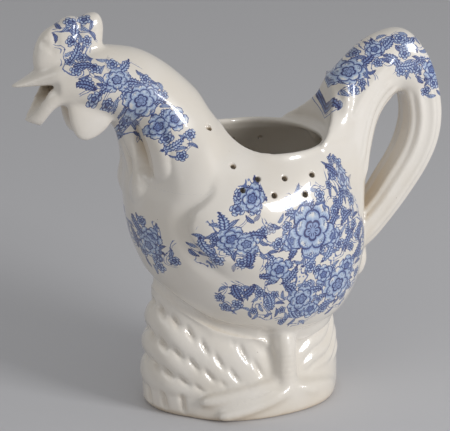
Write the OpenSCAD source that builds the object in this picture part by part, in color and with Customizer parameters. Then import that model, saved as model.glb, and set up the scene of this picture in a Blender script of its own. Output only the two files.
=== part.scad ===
/* [Figure] */
// Height that the side profile's shares follow, close to the height to the comb
bird_h = 250; // [200:5:300]
// Length that the side profile's shares follow, close to the length from comb to handle
bird_l = 250; // [200:5:300]
// Greatest width of the body
body_w = 114; // [100:1:130]
// Thickness of the fired wall
wall = 4.5; // [3.5:0.5:5.5]

/* [Opening] */
// Diameter of the filling opening in the back
opening_d = 72; // [64:1:76]
// Place of the opening's centre along the figure
opening_x = 18.5; // [16:0.5:22]
// Diameter of each pierced hole
hole_d = 3.2; // [2.4:0.2:5]
// Lean of the upper row of holes from upright, in degrees
upper_angle = 43; // [41:1:45]
// Lean of the lower row of holes from upright, in degrees
lower_angle = 56; // [54:1:60]
// Spacing of the holes along the upper row
upper_pitch = 15.5; // [13:0.5:16]
// Spacing of the holes along the lower row
lower_pitch = 20; // [16:0.5:21]

/* [Head] */
// Length of the upper beak in front of the head
beak_l = 24; // [16:1:30]
// Length of the lower beak in front of the head
lower_beak_l = 16; // [12:1:20]
// Thickness of the comb at its root
comb_t = 16; // [10:1:18]
// Height of the comb above the head
comb_h = 26; // [16:1:32]
// Length of the comb
comb_l = 42; // [34:1:46]
// Thickness of one wattle
wattle_t = 8; // [5:1:10]
// Length of one wattle from front to back
wattle_l = 30; // [22:1:34]
// Height of one wattle
wattle_h = 22; // [18:1:26]

/* [Feathers] */
// How far a wing stands proud of the body
wing_t = 5; // [3:0.5:8]
// How far a neck feather stands proud of the neck
hackle_t = 5; // [3:0.5:7]
// Width of the feather tuft under the handle
tuft_w = 16; // [12:1:24]
// Height of the feather tuft under the handle
tuft_h = 26; // [18:1:30]
// How far the tuft stands proud of the body
tuft_t = 5; // [4:0.5:8]

/* [Handle] */
// Width of the handle strap across the figure
handle_w = 27; // [20:1:32]

/* [Plinth] */
// Length of the plinth at its foot
plinth_l = 125; // [115:1:135]
// Width of the plinth at its foot
plinth_w = 78; // [72:1:86]
// Height of the plinth's rim in front, against the breast
rim_front_h = 86; // [80:1:92]
// Height of the plinth's rim at the sides
rim_side_h = 58; // [54:1:62]
// Height of the plinth's rim at the back
rim_back_h = 64; // [58:1:68]
// Place of the plinth's centre along the figure
plinth_x = 6; // [0:1:8]
// How much narrower each side of the plinth is at the rim
plinth_taper = 11; // [8:0.5:13]
// Depth of one tier of the plinth's moulded surface
tier_d = 2.5; // [1:0.5:4]
// Width of the foot ring under the plinth
foot_w = 9; // [7:0.5:12]
// Height of the hollow under the plinth
hollow_h = 26; // [16:1:28]
// Width of the step that carries the feet
ledge_d = 4; // [3:0.5:6]
// Height of the step that carries the feet
ledge_h = 11; // [8:1:14]

/* [Legs] */
// Diameter of a leg
leg_d = 13; // [10:1:15]
// Place of the legs along the figure
leg_x = 20; // [12:1:26]
// Distance of a leg's axis from the middle plane
leg_y = 39; // [36:1:42]
// Length of the middle toe from the leg's axis
toe_l = 26; // [18:1:30]
// Diameter of a toe
toe_d = 7; // [5:0.5:8]

/* [Hidden] */

glaze = [0.93, 0.90, 0.85];
print_blue = [0.62, 0.70, 0.84];
sides = 32;
steps = 2;

// Stations of the body, from the beak's root to the tail's top. Each holds the back point
// (x, z), the throat or belly point (x, z), the half width, as shares of the length, the
// height and the body's half width, and how square the section is, from 2 for an ellipse.
spine_shares = [
    [-0.432, 0.904, -0.428, 0.796, 0.25, 2.0],
    [-0.392, 0.916, -0.396, 0.792, 0.30, 2.0],
    [-0.336, 0.928, -0.352, 0.776, 0.35, 2.0],
    [-0.280, 0.924, -0.304, 0.736, 0.39, 2.0],
    [-0.216, 0.908, -0.284, 0.680, 0.44, 2.0],
    [-0.152, 0.868, -0.268, 0.616, 0.51, 2.0],
    [-0.088, 0.808, -0.260, 0.552, 0.61, 2.0],
    [-0.046, 0.756, -0.252, 0.484, 0.75, 2.0],
    [-0.012, 0.736, -0.232, 0.408, 0.86, 2.0],
    [ 0.032, 0.732, -0.188, 0.320, 0.93, 2.0],
    [ 0.072, 0.728, -0.112, 0.228, 0.98, 2.0],
    [ 0.112, 0.720, -0.008, 0.168, 1.00, 2.1],
    [ 0.148, 0.708,  0.112, 0.148, 0.98, 2.3],
    [ 0.180, 0.694,  0.216, 0.180, 0.89, 2.5],
    [ 0.204, 0.680,  0.288, 0.248, 0.76, 2.6],
    [ 0.218, 0.670,  0.328, 0.340, 0.62, 2.5],
    [ 0.224, 0.674,  0.338, 0.428, 0.50, 2.4],
    [ 0.228, 0.688,  0.342, 0.504, 0.43, 2.5],
    [ 0.240, 0.730,  0.350, 0.560, 0.37, 2.6],
    [ 0.260, 0.784,  0.362, 0.612, 0.33, 2.2],
    [ 0.300, 0.836,  0.380, 0.672, 0.29, 2.0],
    [ 0.352, 0.880,  0.406, 0.716, 0.26, 2.0],
    [ 0.406, 0.899,  0.436, 0.740, 0.24, 2.4]];
head_index = 0;
neck_index = 3;
body_index = 6;
tail_index = 17;
top_index = 22;
hollow_index = 7;

// Stations of the handle, from the tail's top down to the body: outer point, inner point
// as shares of the length and the height, the share of the strap's half width
// and how square the strap is.
handle_shares = [
    [0.406, 0.899, 0.436, 0.740, 1.00, 2.4],
    [0.462, 0.894, 0.441, 0.740, 1.00, 2.6],
    [0.508, 0.842, 0.448, 0.732, 1.00, 2.6],
    [0.537, 0.768, 0.455, 0.708, 1.00, 2.6],
    [0.551, 0.692, 0.458, 0.668, 1.00, 2.6],
    [0.545, 0.620, 0.447, 0.624, 1.00, 2.6],
    [0.518, 0.552, 0.427, 0.582, 0.97, 2.6],
    [0.470, 0.480, 0.398, 0.540, 0.95, 2.6],
    [0.418, 0.416, 0.371, 0.498, 0.93, 2.6],
    [0.367, 0.360, 0.328, 0.448, 0.90, 2.6]];

// Outline of the comb as shares of its length and height, from its root in front over its
// points to its root behind, and back through the head.
comb_shares = [[0, 0.15], [0.08, 0.42], [0.19, 0.65], [0.36, 0.81], [0.50, 0.96],
    [0.59, 0.95], [0.67, 0.91], [0.77, 0.97], [0.86, 1.00], [0.94, 0.96], [1.00, 0.78],
    [1.00, 0.50], [0.98, 0.28], [0.96, -0.05], [0.80, -0.20], [0.50, -0.28], [0.20, -0.28],
    [0.02, -0.20]];
// Where the comb's outline starts, and the height its shares rise from.
comb_front_share = -0.476;
comb_root_share = 0.904;
// How the comb's outline shrinks towards its two cheeks, and where across it does so.
comb_cheek_shares = [[-0.50, 0.62], [-0.42, 0.84], [-0.22, 0.97], [0, 1], [0.22, 0.97],
    [0.42, 0.84], [0.50, 0.62]];

// Outline of one wattle as shares of its length and height, from its root in front.
wattle_shares = [[0, 0], [0.06, -0.25], [0.16, -0.55], [0.28, -0.80], [0.42, -0.93],
    [0.58, -0.95], [0.76, -0.84], [0.92, -0.68], [1.00, -0.50], [0.98, -0.10],
    [0.70, 0.20], [0.35, 0.30], [0.10, 0.20]];
wattle_front_share = -0.418;
wattle_root_share = 0.800;
wattle_middle_share = 0.16;

// The shares run from the middle of the body; the origin lies under the middle of the whole.
origin_share = 0.0126;
function along(share) = (share - origin_share) * bird_l;
function station(s, width) =
    [along(s[0]), s[1] * bird_h, along(s[2]), s[3] * bird_h, s[4] * width / 2, s[5]];
spine = [for (s = spine_shares) station(s, body_w)];
strap = [for (s = handle_shares) station(s, handle_w)];

// A point between stations, on a smooth curve through all of them.
function between(list, at) = let(
    last = len(list) - 1,
    i = min(floor(at), last - 1),
    t = at - i,
    a = list[max(i - 1, 0)],
    b = list[i],
    c = list[i + 1],
    d = list[min(i + 2, last)])
    b + (c - a) * t / 2 + (2 * a - 5 * b + 4 * c - d) * t * t / 2
    + (3 * b - a - 3 * c + d) * t * t * t / 2;

// A station drawn in by the wall on every side.
function inset(s, by) = let(
    back = [s[0], s[1]],
    belly = [s[2], s[3]],
    down = (belly - back) / norm(belly - back))
    [back[0] + down[0] * by, back[1] + down[1] * by,
     belly[0] - down[0] * by, belly[1] - down[1] * by, s[4] - by, s[5]];

// A point on a station's section; the back is at 90 degrees and the belly at 270.
function squared(value, power) = sign(value) * pow(abs(value), 2 / power);
function on_section(s, angle) = let(
    back = [s[0], 0, s[1]],
    belly = [s[2], 0, s[3]])
    (back + belly) / 2 + (back - belly) / 2 * squared(sin(angle), s[5])
    + [0, s[4] * squared(cos(angle), s[5]), 0];

// The front of the throat is narrower than the sections: by how much, over which heights and
// how far forward, as shares.
throat_share = 0.38;
throat_low_shares = [0.57, 0.64];
throat_high_shares = [0.71, 0.815];
throat_front_shares = [0.189, 0.285];
function rising(value, low, high) =
    let(t = max(0, min(1, (value - low) / (high - low)))) t * t * (3 - 2 * t);
function narrowed(p) = let(
    up = p[2] / bird_h,
    band = rising(up, throat_low_shares[0], throat_low_shares[1])
        * (1 - rising(up, throat_high_shares[0], throat_high_shares[1])),
    front = rising(-p[0] / bird_l, throat_front_shares[0], throat_front_shares[1]))
    [p[0], p[1] * (1 - throat_share * band * front), p[2]];
function on_ring(s, angle) = narrowed(on_section(s, angle));

function ring(s, count = sides) = [for (k = [0:count - 1]) on_ring(s, 360 * k / count)];
function ring_run(list, from, to, by = 0, count = sides) =
    [for (k = [0:round((to - from) * steps)])
        ring(by == 0 ? between(list, from + k / steps)
            : inset(between(list, from + k / steps), by), count)];
function reversed(list) = [for (k = [len(list) - 1:-1:0]) list[k]];
function flat(list) = [for (row = list) for (p = row) p];
function sum(list, i = 0) = i == len(list) - 1 ? list[i] : list[i] + sum(list, i + 1);
function mean(list) = sum(list) / len(list);

// Triangles between rows of equal length; wrap_rows joins the last row to the first.
function skin(rows, count, wrap_rows = false) =
    [for (r = [0:rows - (wrap_rows ? 1 : 2)])
        for (k = [0:count - 1])
            let(a = r * count + k,
                b = r * count + (k + 1) % count,
                c = ((r + 1) % rows) * count + (k + 1) % count,
                d = ((r + 1) % rows) * count + k)
            for (f = [[a, c, b], [a, d, c]]) f];
function fan(centre, first, count, flip) =
    [for (k = [0:count - 1]) flip
        ? [centre, first + k, first + (k + 1) % count]
        : [centre, first + (k + 1) % count, first + k]];

// A closed tube: outer rings one way, inner rings back.
module tube(outer, inner) {
    rows = concat(outer, reversed(inner));
    polyhedron(flat(rows), skin(len(rows), len(rows[0]), true), convexity = 8);
}

// A solid run of rings, with a fan on each end.
module plug(rows, first_point = undef, last_point = undef) {
    count = len(rows[0]);
    total = len(rows) * count;
    start = is_undef(first_point) ? mean(rows[0]) : first_point;
    end = is_undef(last_point) ? mean(rows[len(rows) - 1]) : last_point;
    polyhedron(concat(flat(rows), [start, end]),
        concat(skin(len(rows), count),
            fan(total, 0, count, true),
            fan(total + 1, total - count, count, false)), convexity = 8);
}

// The outsides of the body, neck and head as solids, which what lies on them is cut to.
module body_form() {
    plug(ring_run(spine, body_index, tail_index));
}
module neck_form() {
    plug(ring_run(spine, neck_index, body_index));
}
module head_form() {
    plug(ring_run(spine, head_index, neck_index));
}

// Holes drilled through the wall on both sides of the opening: the height of the axis they
// all point away from, and how far the rows' middle and the single front hole lie in front
// of the opening's centre, as shares of the opening.
hole_axis_share = 0.46;
row_forward_share = 0.104;
front_hole_share = 0.603;
front_angle = 22;
row_x = opening_x - row_forward_share * opening_d;
// How far each hole strays from its even place along its row, and from the row's lean, from
// the front to the back.
upper_strays = [[-2.5, -2.6], [-4.8, 5.8], [-3.7, 7.2], [-1.0, 6.3]];
lower_strays = [[-3.4, -1.7], [-4.7, 3.2], [-4.5, 4.3]];
module drill(x, lean) {
    for (side = [-1, 1])
        translate([x, 0, hole_axis_share * bird_h])
            rotate([side * lean, 0, 0])
                translate([0, 0, body_w / 4])
                    cylinder(d = hole_d, h = body_w / 2, $fn = 24);
}
module row_of_holes(pitch, lean, strays) {
    middle = (len(strays) - 1) / 2;
    for (k = [0:len(strays) - 1])
        drill(row_x + (k - middle) * pitch + strays[k][0], lean + strays[k][1]);
}
module pierced_holes() {
    row_of_holes(upper_pitch, upper_angle, upper_strays);
    row_of_holes(lower_pitch, lower_angle, lower_strays);
    drill(opening_x - front_hole_share * opening_d, front_angle);
}

module filling_opening() {
    translate([opening_x, 0, bird_h / 2]) cylinder(d = opening_d, h = bird_h, $fn = 72);
}

module body_shell() {
    color(glaze) difference() {
        tube(ring_run(spine, body_index, tail_index), ring_run(spine, body_index, tail_index, wall));
        filling_opening();
        pierced_holes();
    }
}

module neck() {
    color(glaze)
        tube(ring_run(spine, neck_index, body_index), ring_run(spine, neck_index, body_index, wall));
}

module head() {
    color(glaze)
        tube(ring_run(spine, head_index, neck_index), ring_run(spine, head_index, neck_index, wall));
}

// The tail is hollow like the body, and the opening's rim bites into its foot.
module tail() {
    color(print_blue) difference() {
        tube(ring_run(spine, tail_index, top_index), ring_run(spine, tail_index, top_index, wall));
        filling_opening();
    }
}

// A raised patch on the body or neck: its back is the wall's own surface, and rise() gives
// how far each point of its face stands out.
function patch_point(s, angle, out) = let(
    back = [s[0], 0, s[1]],
    belly = [s[2], 0, s[3]],
    half = norm(back - belly) / 2,
    up = (back - belly) / (2 * half),
    away = up * sin(angle) / half + [0, cos(angle) / s[4], 0])
    on_ring(s, angle) + away / norm(away) * out;
module patch(from, to, first, last, rises) {
    rows = round((to - from) * steps) + 1;
    count = last - first + 1;
    total = rows * count;
    face = [for (r = [0:rows - 1]) for (k = [0:count - 1])
        patch_point(between(spine, from + r / steps), 360 * (first + k) / sides, rises[r][k])];
    seat = [for (r = [0:rows - 1]) for (k = [0:count - 1])
        patch_point(between(spine, from + r / steps), 360 * (first + k) / sides, 0)];
    tops = [for (r = [0:rows - 2]) for (k = [0:count - 2])
        let(a = r * count + k, b = a + 1, c = a + count + 1, d = a + count)
        for (f = [[a, c, b], [a, d, c]]) f];
    seats = [for (f = tops) [f[0] + total, f[2] + total, f[1] + total]];
    rim = concat([for (k = [0:count - 1]) k],
        [for (r = [1:rows - 1]) r * count + count - 1],
        [for (k = [count - 2:-1:0]) (rows - 1) * count + k],
        [for (r = [rows - 2:-1:1]) r * count]);
    edges = [for (k = [0:len(rim) - 1])
        let(a = rim[k], b = rim[(k + 1) % len(rim)])
        for (f = [[a, b, b + total], [a, b + total, a + total]]) f];
    polyhedron(concat(face, seat), concat(tops, seats, edges), convexity = 4);
}

// A wing swells out of the body's side and thins to its edges.
wing_first_index = 7.5;
wing_last_index = 15;
wing_half_count = 2;
wing_edge_share = 0.16;
module wing(middle) {
    rows = round((wing_last_index - wing_first_index) * steps);
    rises = [for (r = [0:rows]) [for (k = [-wing_half_count:wing_half_count])
        let(u = 2 * r / rows - 1, v = k / wing_half_count)
        wing_t * max(wing_edge_share, (1 - pow(u, 4)) * (1 - v * v))]];
    patch(wing_first_index, wing_last_index, middle - wing_half_count, middle + wing_half_count, rises);
}
module left_wing() {
    color(print_blue) wing(sides / 2);
}
module right_wing() {
    color(print_blue) wing(0);
}

// Three long feathers side by side hang down each side of the neck.
hackle_first_index = 3.5;
hackle_last_index = 6;
hackle_edge_share = 0.14;
module hackles(first) {
    rows = round((hackle_last_index - hackle_first_index) * steps);
    rises = [for (r = [0:rows]) [for (k = [0:6])
        let(u = 2 * r / rows - 1)
        hackle_t * max(hackle_edge_share, (k % 2) * (1 - pow(u, 4)))]];
    patch(hackle_first_index, hackle_last_index, first, first + 6, rises);
}
module left_hackles() {
    color(glaze) hackles(sides / 2 + 1);
}
module right_hackles() {
    color(glaze) hackles(sides - 7);
}

// The comb, thick at its middle and rounded off to both cheeks.
module comb_form() {
    centre = mean(comb_shares);
    rows = [for (c = comb_cheek_shares) [for (p = comb_shares)
        let(q = centre + (p - centre) * c[1])
        [along(comb_front_share) + q[0] * comb_l, c[0] * comb_t,
         comb_root_share * bird_h + q[1] * comb_h]]];
    plug(rows);
}
module comb() {
    color(print_blue) difference() {
        comb_form();
        head_form();
        upper_beak_form();
    }
}

// One wattle hangs on each side of the throat.
wattle_cheek_shares = [[-0.5, 0.55], [-0.3, 0.90], [0, 1], [0.3, 0.90], [0.5, 0.55]];
module wattle(side) {
    centre = mean(wattle_shares);
    rows = [for (c = wattle_cheek_shares) [for (p = wattle_shares)
        let(q = centre + (p - centre) * c[1])
        [along(wattle_front_share) + q[0] * wattle_l,
         side * wattle_middle_share * body_w / 2 - c[0] * wattle_t,
         wattle_root_share * bird_h + q[1] * wattle_h]]];
    difference() {
        plug(rows);
        head_form();
        neck_form();
    }
}
module left_wattle() {
    color(glaze) wattle(-1);
}
module right_wattle() {
    color(glaze) wattle(1);
}

// Rings of the beaks: each is a shell open towards the mouth, from one corner of the mouth
// round the outside to the other and back along the inside.
beak_arc_count = 8;
beak_wall_share = 0.72;
function arch(s, thick, upper) = concat(
    [for (k = [0:beak_arc_count]) on_ring(s, (upper ? 0 : 180) + 180 * k / beak_arc_count)],
    [for (k = [beak_arc_count:-1:0])
        on_ring(inset(s, thick), (upper ? 0 : 180) + 180 * k / beak_arc_count)]);
module trough(rows) {
    count = len(rows[0]);
    last = (len(rows) - 1) * count;
    front = [for (k = [0:beak_arc_count - 1])
        let(a = k, b = k + 1, c = count - 2 - k, d = count - 1 - k)
        for (f = [[a, b, c], [a, c, d]]) f];
    back = [for (f = front) [f[0] + last, f[2] + last, f[1] + last]];
    polyhedron(flat(rows), concat(skin(len(rows), count), front, back), convexity = 6);
}

// Stations of the upper beak in front of the head: shares of its length forward, the lift of
// the roof and of the lip as shares of the head's height there, and the share of the width.
upper_beak_shares = [[0, 1, 0, 1], [0.35, 0.84, -0.06, 0.80], [0.70, 0.52, -0.08, 0.50],
    [1.00, 0.16, -0.10, 0.20]];
// Stations of the lower beak, the same way, with the drop of the jaw.
lower_beak_shares = [[0, 0, 1, 1], [0.28, 0.42, 1.15, 0.80], [0.58, 0.98, 1.50, 0.62],
    [0.86, 1.50, 1.78, 0.34]];
beak_root = spine[head_index];
beak_root_x = (beak_root[0] + beak_root[2]) / 2;
beak_root_z = (beak_root[1] + beak_root[3]) / 2;
beak_root_h = (beak_root[1] - beak_root[3]) / 2;
function upper_station(s) = let(lip = beak_root_z + s[2] * beak_root_h,
    roof = beak_root_z + s[1] * beak_root_h)
    s[0] == 0 ? beak_root : [beak_root_x - s[0] * beak_l, roof,
    beak_root_x - s[0] * beak_l, 2 * lip - roof, s[3] * beak_root[4], beak_root[5]];
function lower_station(s) = let(lip = beak_root_z - s[1] * beak_root_h,
    jaw = beak_root_z - s[2] * beak_root_h)
    s[0] == 0 ? beak_root : [beak_root_x - s[0] * lower_beak_l, 2 * lip - jaw,
    beak_root_x - s[0] * lower_beak_l, jaw, s[3] * beak_root[4], beak_root[5]];
function beak_thick(s) = min(wall, beak_wall_share * min(s[4], (s[1] - s[3]) / 2));
module upper_beak_form() {
    rows = [for (s = upper_beak_shares) let(t = upper_station(s)) arch(t, beak_thick(t), true)];
    trough(reversed(rows));
}
module upper_beak() {
    color(glaze) upper_beak_form();
}
module lower_beak() {
    rows = [for (s = lower_beak_shares) let(t = lower_station(s)) arch(t, beak_thick(t), false)];
    color(glaze) trough(reversed(rows));
}

// A short fluffed feather on the body under the handle.
tuft_place_share = 0.352;
tuft_lift_share = 0.32;
tuft_ring_shares = [[-1, 0.20], [-0.80, 0.60], [-0.40, 0.92], [0, 1], [0.40, 0.92],
    [0.80, 0.60], [1, 0.20]];
module rear_tuft() {
    rows = [for (r = tuft_ring_shares) [for (k = [0:11])
        [along(tuft_place_share) + cos(30 * k) * r[1] * tuft_t,
         sin(30 * k) * r[1] * tuft_w / 2,
         tuft_lift_share * bird_h + r[0] * tuft_h / 2]]];
    color(glaze) difference() {
        plug(rows);
        body_form();
    }
}

// The handle springs from the tail's top and lands on the back of the body. It is hollow
// down to its lower end.
module handle() {
    outside = [for (k = [0:2 * (len(strap) - 1)]) ring(between(strap, k / 2))];
    inside = [for (k = [2 * hollow_index:-1:0]) ring(inset(between(strap, k / 2), wall))];
    color(glaze) difference() {
        plug(concat(inside, outside));
        body_form();
    }
}

// The plinth: rings from the foot up to a rim that is high in front and low at the sides.
plinth_side_count = 48;
plinth_ring_count = 12;
tier_count = 4;
function rim_h(angle) = let(c = cos(angle))
    rim_side_h + (c < 0 ? rim_front_h - rim_side_h : rim_back_h - rim_side_h) * pow(abs(c), 3);
function ledge(angle, z) = let(side = abs(sin(angle)))
    z < ledge_h ? ledge_d * pow(side, 6) : 0;
function plinth_point(angle, up, inward) = let(
    z = up * rim_h(angle),
    tier = tier_d * sin(180 * (tier_count * up - floor(tier_count * up))),
    out = tier - plinth_taper * pow(up, 3) + ledge(angle, z) - inward)
    [plinth_x + (plinth_l / 2 + out) * cos(angle), (plinth_w / 2 + out) * sin(angle), z];
plinth_core_share = 0.55;
rim_in_share = 0.077;
rim_fall_share = 0.93;
module plinth_form() {
    angles = [for (k = [0:plinth_side_count - 1]) 360 * k / plinth_side_count];
    outside = [for (r = [0:plinth_ring_count])
        [for (a = angles) plinth_point(a, r / plinth_ring_count, 0)]];
    crown = [for (a = angles) let(p = plinth_point(a, 1, rim_in_share * plinth_w))
        [p[0], p[1], p[2] * rim_fall_share]];
    underside = [for (lift = [hollow_h, 0]) [for (a = angles)
        let(in = foot_w + (lift > 0 ? foot_w / 3 : 0))
        [plinth_x + (plinth_l / 2 - in) * cos(a), (plinth_w / 2 - in) * sin(a), lift]]];
    plug(concat(underside, outside, [crown]), [plinth_x, 0, hollow_h],
        [plinth_x, 0, plinth_core_share * rim_side_h + hollow_h / 2]);
}
module plinth() {
    color(glaze) difference() {
        plinth_form();
        body_form();
    }
}

// A leg stands on the plinth's step and ends under the belly; three toes spread in front.
toe_angle = 32;
toe_tip_share = 0.7;
module toe(turn, long) {
    hull() {
        sphere(d = toe_d, $fn = 16);
        rotate([0, 0, turn]) translate([-long, 0, 0])
            sphere(d = toe_d * toe_tip_share, $fn = 16);
    }
}
leg_top_share = 1.1;
module leg(side) {
    difference() {
        union() {
            translate([leg_x, side * leg_y, ledge_h])
                cylinder(d = leg_d, h = leg_top_share * rim_side_h, $fn = 32);
            translate([leg_x, side * (leg_y + ledge_d / 2), ledge_h + toe_d / 4]) {
                toe(0, toe_l);
                toe(side * -toe_angle, toe_l * toe_tip_share);
                toe(side * toe_angle, toe_l * toe_tip_share);
            }
        }
        plinth_form();
        body_form();
    }
}
module left_leg() {
    color(glaze) leg(-1);
}
module right_leg() {
    color(glaze) leg(1);
}

plinth();
left_leg();
right_leg();
body_shell();
left_wing();
right_wing();
neck();
left_hackles();
right_hackles();
head();
comb();
upper_beak();
lower_beak();
left_wattle();
right_wattle();
tail();
rear_tuft();
handle();
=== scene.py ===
"""A glazed earthenware jug shaped as a crowing hen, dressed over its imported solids.

The jug is drawn once as overlapping forms, fused into a single skin as slip-cast clay is, softened,
carved, pierced, and then parted along its joints into one closed piece for each sub-part.
Lengths are in millimetres until a piece is made, and in metres from there on.
"""

import math

import bmesh
import bpy
import numpy as np
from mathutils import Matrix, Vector
from mathutils.bvhtree import BVHTree
from mathutils.interpolate import poly_3d_calc

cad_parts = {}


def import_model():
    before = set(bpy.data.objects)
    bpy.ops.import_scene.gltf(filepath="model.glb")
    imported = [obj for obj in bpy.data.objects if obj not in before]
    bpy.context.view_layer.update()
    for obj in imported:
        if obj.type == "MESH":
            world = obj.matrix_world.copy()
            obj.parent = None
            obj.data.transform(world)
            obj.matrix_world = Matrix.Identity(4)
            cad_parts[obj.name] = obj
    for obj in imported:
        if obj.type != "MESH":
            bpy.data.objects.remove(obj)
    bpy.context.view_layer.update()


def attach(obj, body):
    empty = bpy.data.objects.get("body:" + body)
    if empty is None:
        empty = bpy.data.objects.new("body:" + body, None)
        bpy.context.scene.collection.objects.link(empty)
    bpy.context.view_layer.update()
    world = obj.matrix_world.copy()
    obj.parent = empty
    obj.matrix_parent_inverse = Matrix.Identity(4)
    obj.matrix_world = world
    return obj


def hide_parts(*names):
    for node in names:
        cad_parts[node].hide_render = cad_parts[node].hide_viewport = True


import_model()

MM = 0.001

# The jug's driving sizes, in millimetres.
BIRD_H = 250
BIRD_L = 250
BODY_W = 114
HANDLE_W = 27
WALL = 4.5
ORIGIN_SHARE = 0.016
# The forms are drawn from the body's middle; the frame's origin lies this much in front of it.
SET_X = 0.85
OPENING_D = 72
OPENING_X = 17.6
HOLE_D = 3.2
TAIL_FRONT_SHARE = 0.24
SCOOP_R = 40.2
SCOOP_Z = 165
SCOOP_FLARE = 0.1

# Stations of the body from the beak's root to the tail's top: back point and belly point as
# shares of length and height, half width as a share of the body's, and squareness.
SPINE_SHARES = [
    (-0.432, 0.904, -0.428, 0.796, 0.25, 2.0),
    (-0.392, 0.916, -0.396, 0.792, 0.30, 2.0),
    (-0.336, 0.928, -0.352, 0.776, 0.35, 2.0),
    (-0.280, 0.924, -0.304, 0.736, 0.39, 2.0),
    (-0.216, 0.908, -0.284, 0.680, 0.44, 2.0),
    (-0.152, 0.868, -0.268, 0.616, 0.51, 2.0),
    (-0.088, 0.808, -0.260, 0.552, 0.61, 2.0),
    (-0.056, 0.764, -0.252, 0.484, 0.75, 2.0),
    (-0.030, 0.732, -0.232, 0.408, 0.86, 2.0),
    (0.022, 0.728, -0.188, 0.320, 0.93, 2.0),
    (0.072, 0.728, -0.112, 0.228, 0.98, 2.0),
    (0.112, 0.720, -0.008, 0.168, 1.00, 2.1),
    (0.148, 0.708, 0.112, 0.148, 0.98, 2.3),
    (0.180, 0.694, 0.216, 0.180, 0.89, 2.5),
    (0.204, 0.680, 0.288, 0.248, 0.76, 2.6),
    (0.218, 0.670, 0.328, 0.340, 0.62, 2.5),
    (0.224, 0.674, 0.338, 0.428, 0.50, 2.4),
    (0.228, 0.688, 0.342, 0.504, 0.43, 2.5),
    (0.236, 0.734, 0.350, 0.560, 0.37, 2.6),
    (0.258, 0.788, 0.362, 0.612, 0.33, 2.2),
    (0.300, 0.838, 0.380, 0.672, 0.29, 1.9),
    (0.352, 0.880, 0.406, 0.716, 0.26, 1.9),
    (0.406, 0.899, 0.436, 0.740, 0.24, 2.2)]
HEAD_AT, TAIL_AT, TAIL_END = 0, 17, 22

# Stations of the handle from the tail's top down to the body, outer point and inner point.
HANDLE_SHARES = [
    (0.366, 0.878, 0.415, 0.725, 0.95, 2.0),
    (0.406, 0.899, 0.437, 0.741, 1.00, 2.2),
    (0.462, 0.894, 0.443, 0.742, 1.00, 2.6),
    (0.508, 0.842, 0.451, 0.734, 1.00, 2.6),
    (0.537, 0.768, 0.458, 0.710, 1.00, 2.6),
    (0.551, 0.692, 0.461, 0.668, 1.00, 2.6),
    (0.545, 0.620, 0.451, 0.622, 1.00, 2.6),
    (0.518, 0.552, 0.431, 0.578, 0.97, 2.6),
    (0.470, 0.480, 0.402, 0.534, 0.95, 2.6),
    (0.418, 0.416, 0.372, 0.488, 0.93, 2.6),
    (0.367, 0.360, 0.328, 0.440, 0.90, 2.6),
    (0.330, 0.330, 0.290, 0.410, 0.85, 2.6)]

SKIN_VOXEL = 1.0


def along(share):
    """A share of the length as a place in the frame."""
    return (share - ORIGIN_SHARE) * BIRD_L


def stations(shares, width):
    """Stations in millimetres: back x, back z, belly x, belly z, half width, squareness."""
    return np.array([(along(a), b * BIRD_H, along(c), d * BIRD_H, w * width / 2, q)
                     for a, b, c, d, w, q in shares])


SPINE = stations(SPINE_SHARES, BODY_W)
STRAP = stations(HANDLE_SHARES, HANDLE_W)


def between(rows, at):
    """A point between stations, on a smooth curve through all of them."""
    last = len(rows) - 1
    i = min(int(at), last - 1)
    t = at - i
    a, b, c, d = rows[max(i - 1, 0)], rows[i], rows[i + 1], rows[min(i + 2, last)]
    return (b + (c - a) * t / 2 + (2 * a - 5 * b + 4 * c - d) * t * t / 2
            + (3 * b - a - 3 * c + d) * t ** 3 / 2)


def smooth_line(points, count):
    """count points on a smooth curve through the given ones."""
    rows = np.array(points, float)
    return np.array([between(rows, at) for at in np.linspace(0, len(rows) - 1, count)])


def read_off(table, value):
    """The value of a table of pairs at a place between its rows."""
    return np.interp(value, *zip(*table))


def circle(count):
    """Even angles round a full turn."""
    return np.arange(count) * 2 * math.pi / count


def spots(x, y, z):
    """Points from their three coordinates, any of which can be one number for all."""
    return np.stack(np.broadcast_arrays(x, y, z), 1).astype(float)


def inset(station, by):
    """A station drawn in by a wall on every side."""
    back, belly = station[0:2], station[2:4]
    down = (belly - back) / np.linalg.norm(belly - back)
    return np.concatenate([back + down * by, belly - down * by, [station[4] - by, station[5]]])


def section(station, count):
    """The ring of a station's section; the back is at 90 degrees and the belly at 270."""
    angle = circle(count)
    power = 2 / station[5]
    up = np.sign(np.sin(angle)) * np.abs(np.sin(angle)) ** power
    out = np.sign(np.cos(angle)) * np.abs(np.cos(angle)) ** power
    back = np.array([station[0], 0, station[1]])
    belly = np.array([station[2], 0, station[3]])
    ring = (back + belly) / 2 + np.outer(up, (back - belly) / 2)
    ring[:, 1] += station[4] * out
    return ring


def run(rows, start, end, count=96, per_station=6, by=0.0):
    """Rings along a run of stations."""
    places = np.linspace(start, end, int((end - start) * per_station) + 1)
    return [section(inset(between(rows, at), by), count) for at in places]


# Mesh making.


def make(name, points, faces):
    """An object from points in millimetres."""
    mesh = bpy.data.meshes.new(name)
    mesh.from_pydata([tuple(p) for p in points], [], [tuple(f) for f in faces])
    mesh.update()
    thing = bpy.data.objects.new(name, mesh)
    bpy.context.scene.collection.objects.link(thing)
    return thing


def lofted(name, rings):
    """A closed solid through rings of equal length."""
    count = len(rings[0])
    faces = []
    for r in range(len(rings) - 1):
        for k in range(count):
            a, b = r * count + k, r * count + (k + 1) % count
            faces.append((a, b, b + count, a + count))
    faces.append(tuple(range(count - 1, -1, -1)))
    faces.append(tuple(range((len(rings) - 1) * count, len(rings) * count)))
    return outward(make(name, np.concatenate(rings), faces))


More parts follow.
